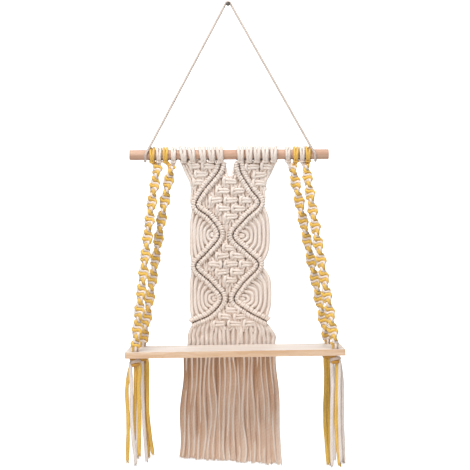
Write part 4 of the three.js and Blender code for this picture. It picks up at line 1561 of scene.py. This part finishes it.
def buildStage():
    # a pale sweep: floor, a round corner and a wall behind
    bend = studio["bend"]
    outline = [(studio["frontY"], studio["floorZ"]), (studio["wallY"] - bend, studio["floorZ"])]
    for k in range(1, studio["bendSteps"]):
        angle = math.pi / 2 * k / studio["bendSteps"]
        outline.append((studio["wallY"] - bend + bend * math.sin(angle),
                        studio["floorZ"] + bend * (1 - math.cos(angle))))
    outline.append((studio["wallY"], studio["floorZ"] + bend))
    outline.append((studio["wallY"], studio["height"] + studio["floorZ"]))
    mesh = bpy.data.meshes.new("backdrop")
    half = studio["width"] / 2
    points = [(side * half * mm, y * mm, z * mm) for y, z in outline for side in (-1, 1)]
    faces = [(2 * k, 2 * k + 1, 2 * k + 3, 2 * k + 2) for k in range(len(outline) - 1)]
    mesh.from_pydata(points, [], faces)
    for face in mesh.polygons:
        face.use_smooth = True
    sweep = bpy.data.objects.new("backdrop", mesh)
    bpy.context.scene.collection.objects.link(sweep)
    material, nodes, links, shader = newMaterial("backdropPaper")
    shader.inputs["Base Color"].default_value = studio["paper"]
    shader.inputs["Roughness"].default_value = 0.9
    shader.inputs["Emission Color"].default_value = (1, 1, 1, 1)

    # white to look at, and no light on the part
    seen = nodes.new("ShaderNodeLightPath").outputs["Is Camera Ray"]
    links.new(seen, shader.inputs["Emission Strength"])
    mesh.materials.append(material)


def addArea(name, place, target, size, power):
    data = bpy.data.lights.new(name, "AREA")
    data.shape = "RECTANGLE"
    data.size = size[0] * mm
    data.size_y = size[1] * mm
    data.energy = power
    lamp = bpy.data.objects.new(name, data)
    lamp.location = Vector(place) * mm
    aim = Vector(target) * mm - lamp.location
    lamp.rotation_euler = aim.to_track_quat("-Z", "Y").to_euler()
    bpy.context.scene.collection.objects.link(lamp)


def buildLight():
    for name, values in lamps.items():
        addArea(name, *values)
    world = bpy.data.worlds.new("studio")
    world.use_nodes = True
    glow = world.node_tree.nodes["Background"]
    glow.inputs["Color"].default_value = (1, 1, 1, 1)

    # white to look at, and dim as a light
    strength = world.node_tree.nodes.new("ShaderNodeMapRange")
    strength.inputs["To Min"].default_value = studio["glow"]
    seen = world.node_tree.nodes.new("ShaderNodeLightPath").outputs["Is Camera Ray"]
    world.node_tree.links.new(seen, strength.inputs["Value"])
    world.node_tree.links.new(strength.outputs["Result"], glow.inputs["Strength"])
    bpy.context.scene.world = world
    bpy.context.scene.view_settings.view_transform = "Standard"


meshes = [piece for piece in bpy.data.objects if piece.type == "MESH"]
shadeCrevices([piece for piece in meshes if "paintedShade" in piece.data.attributes])
print("crevices shaded")

buildStage()
buildLight()
print("stage lit")
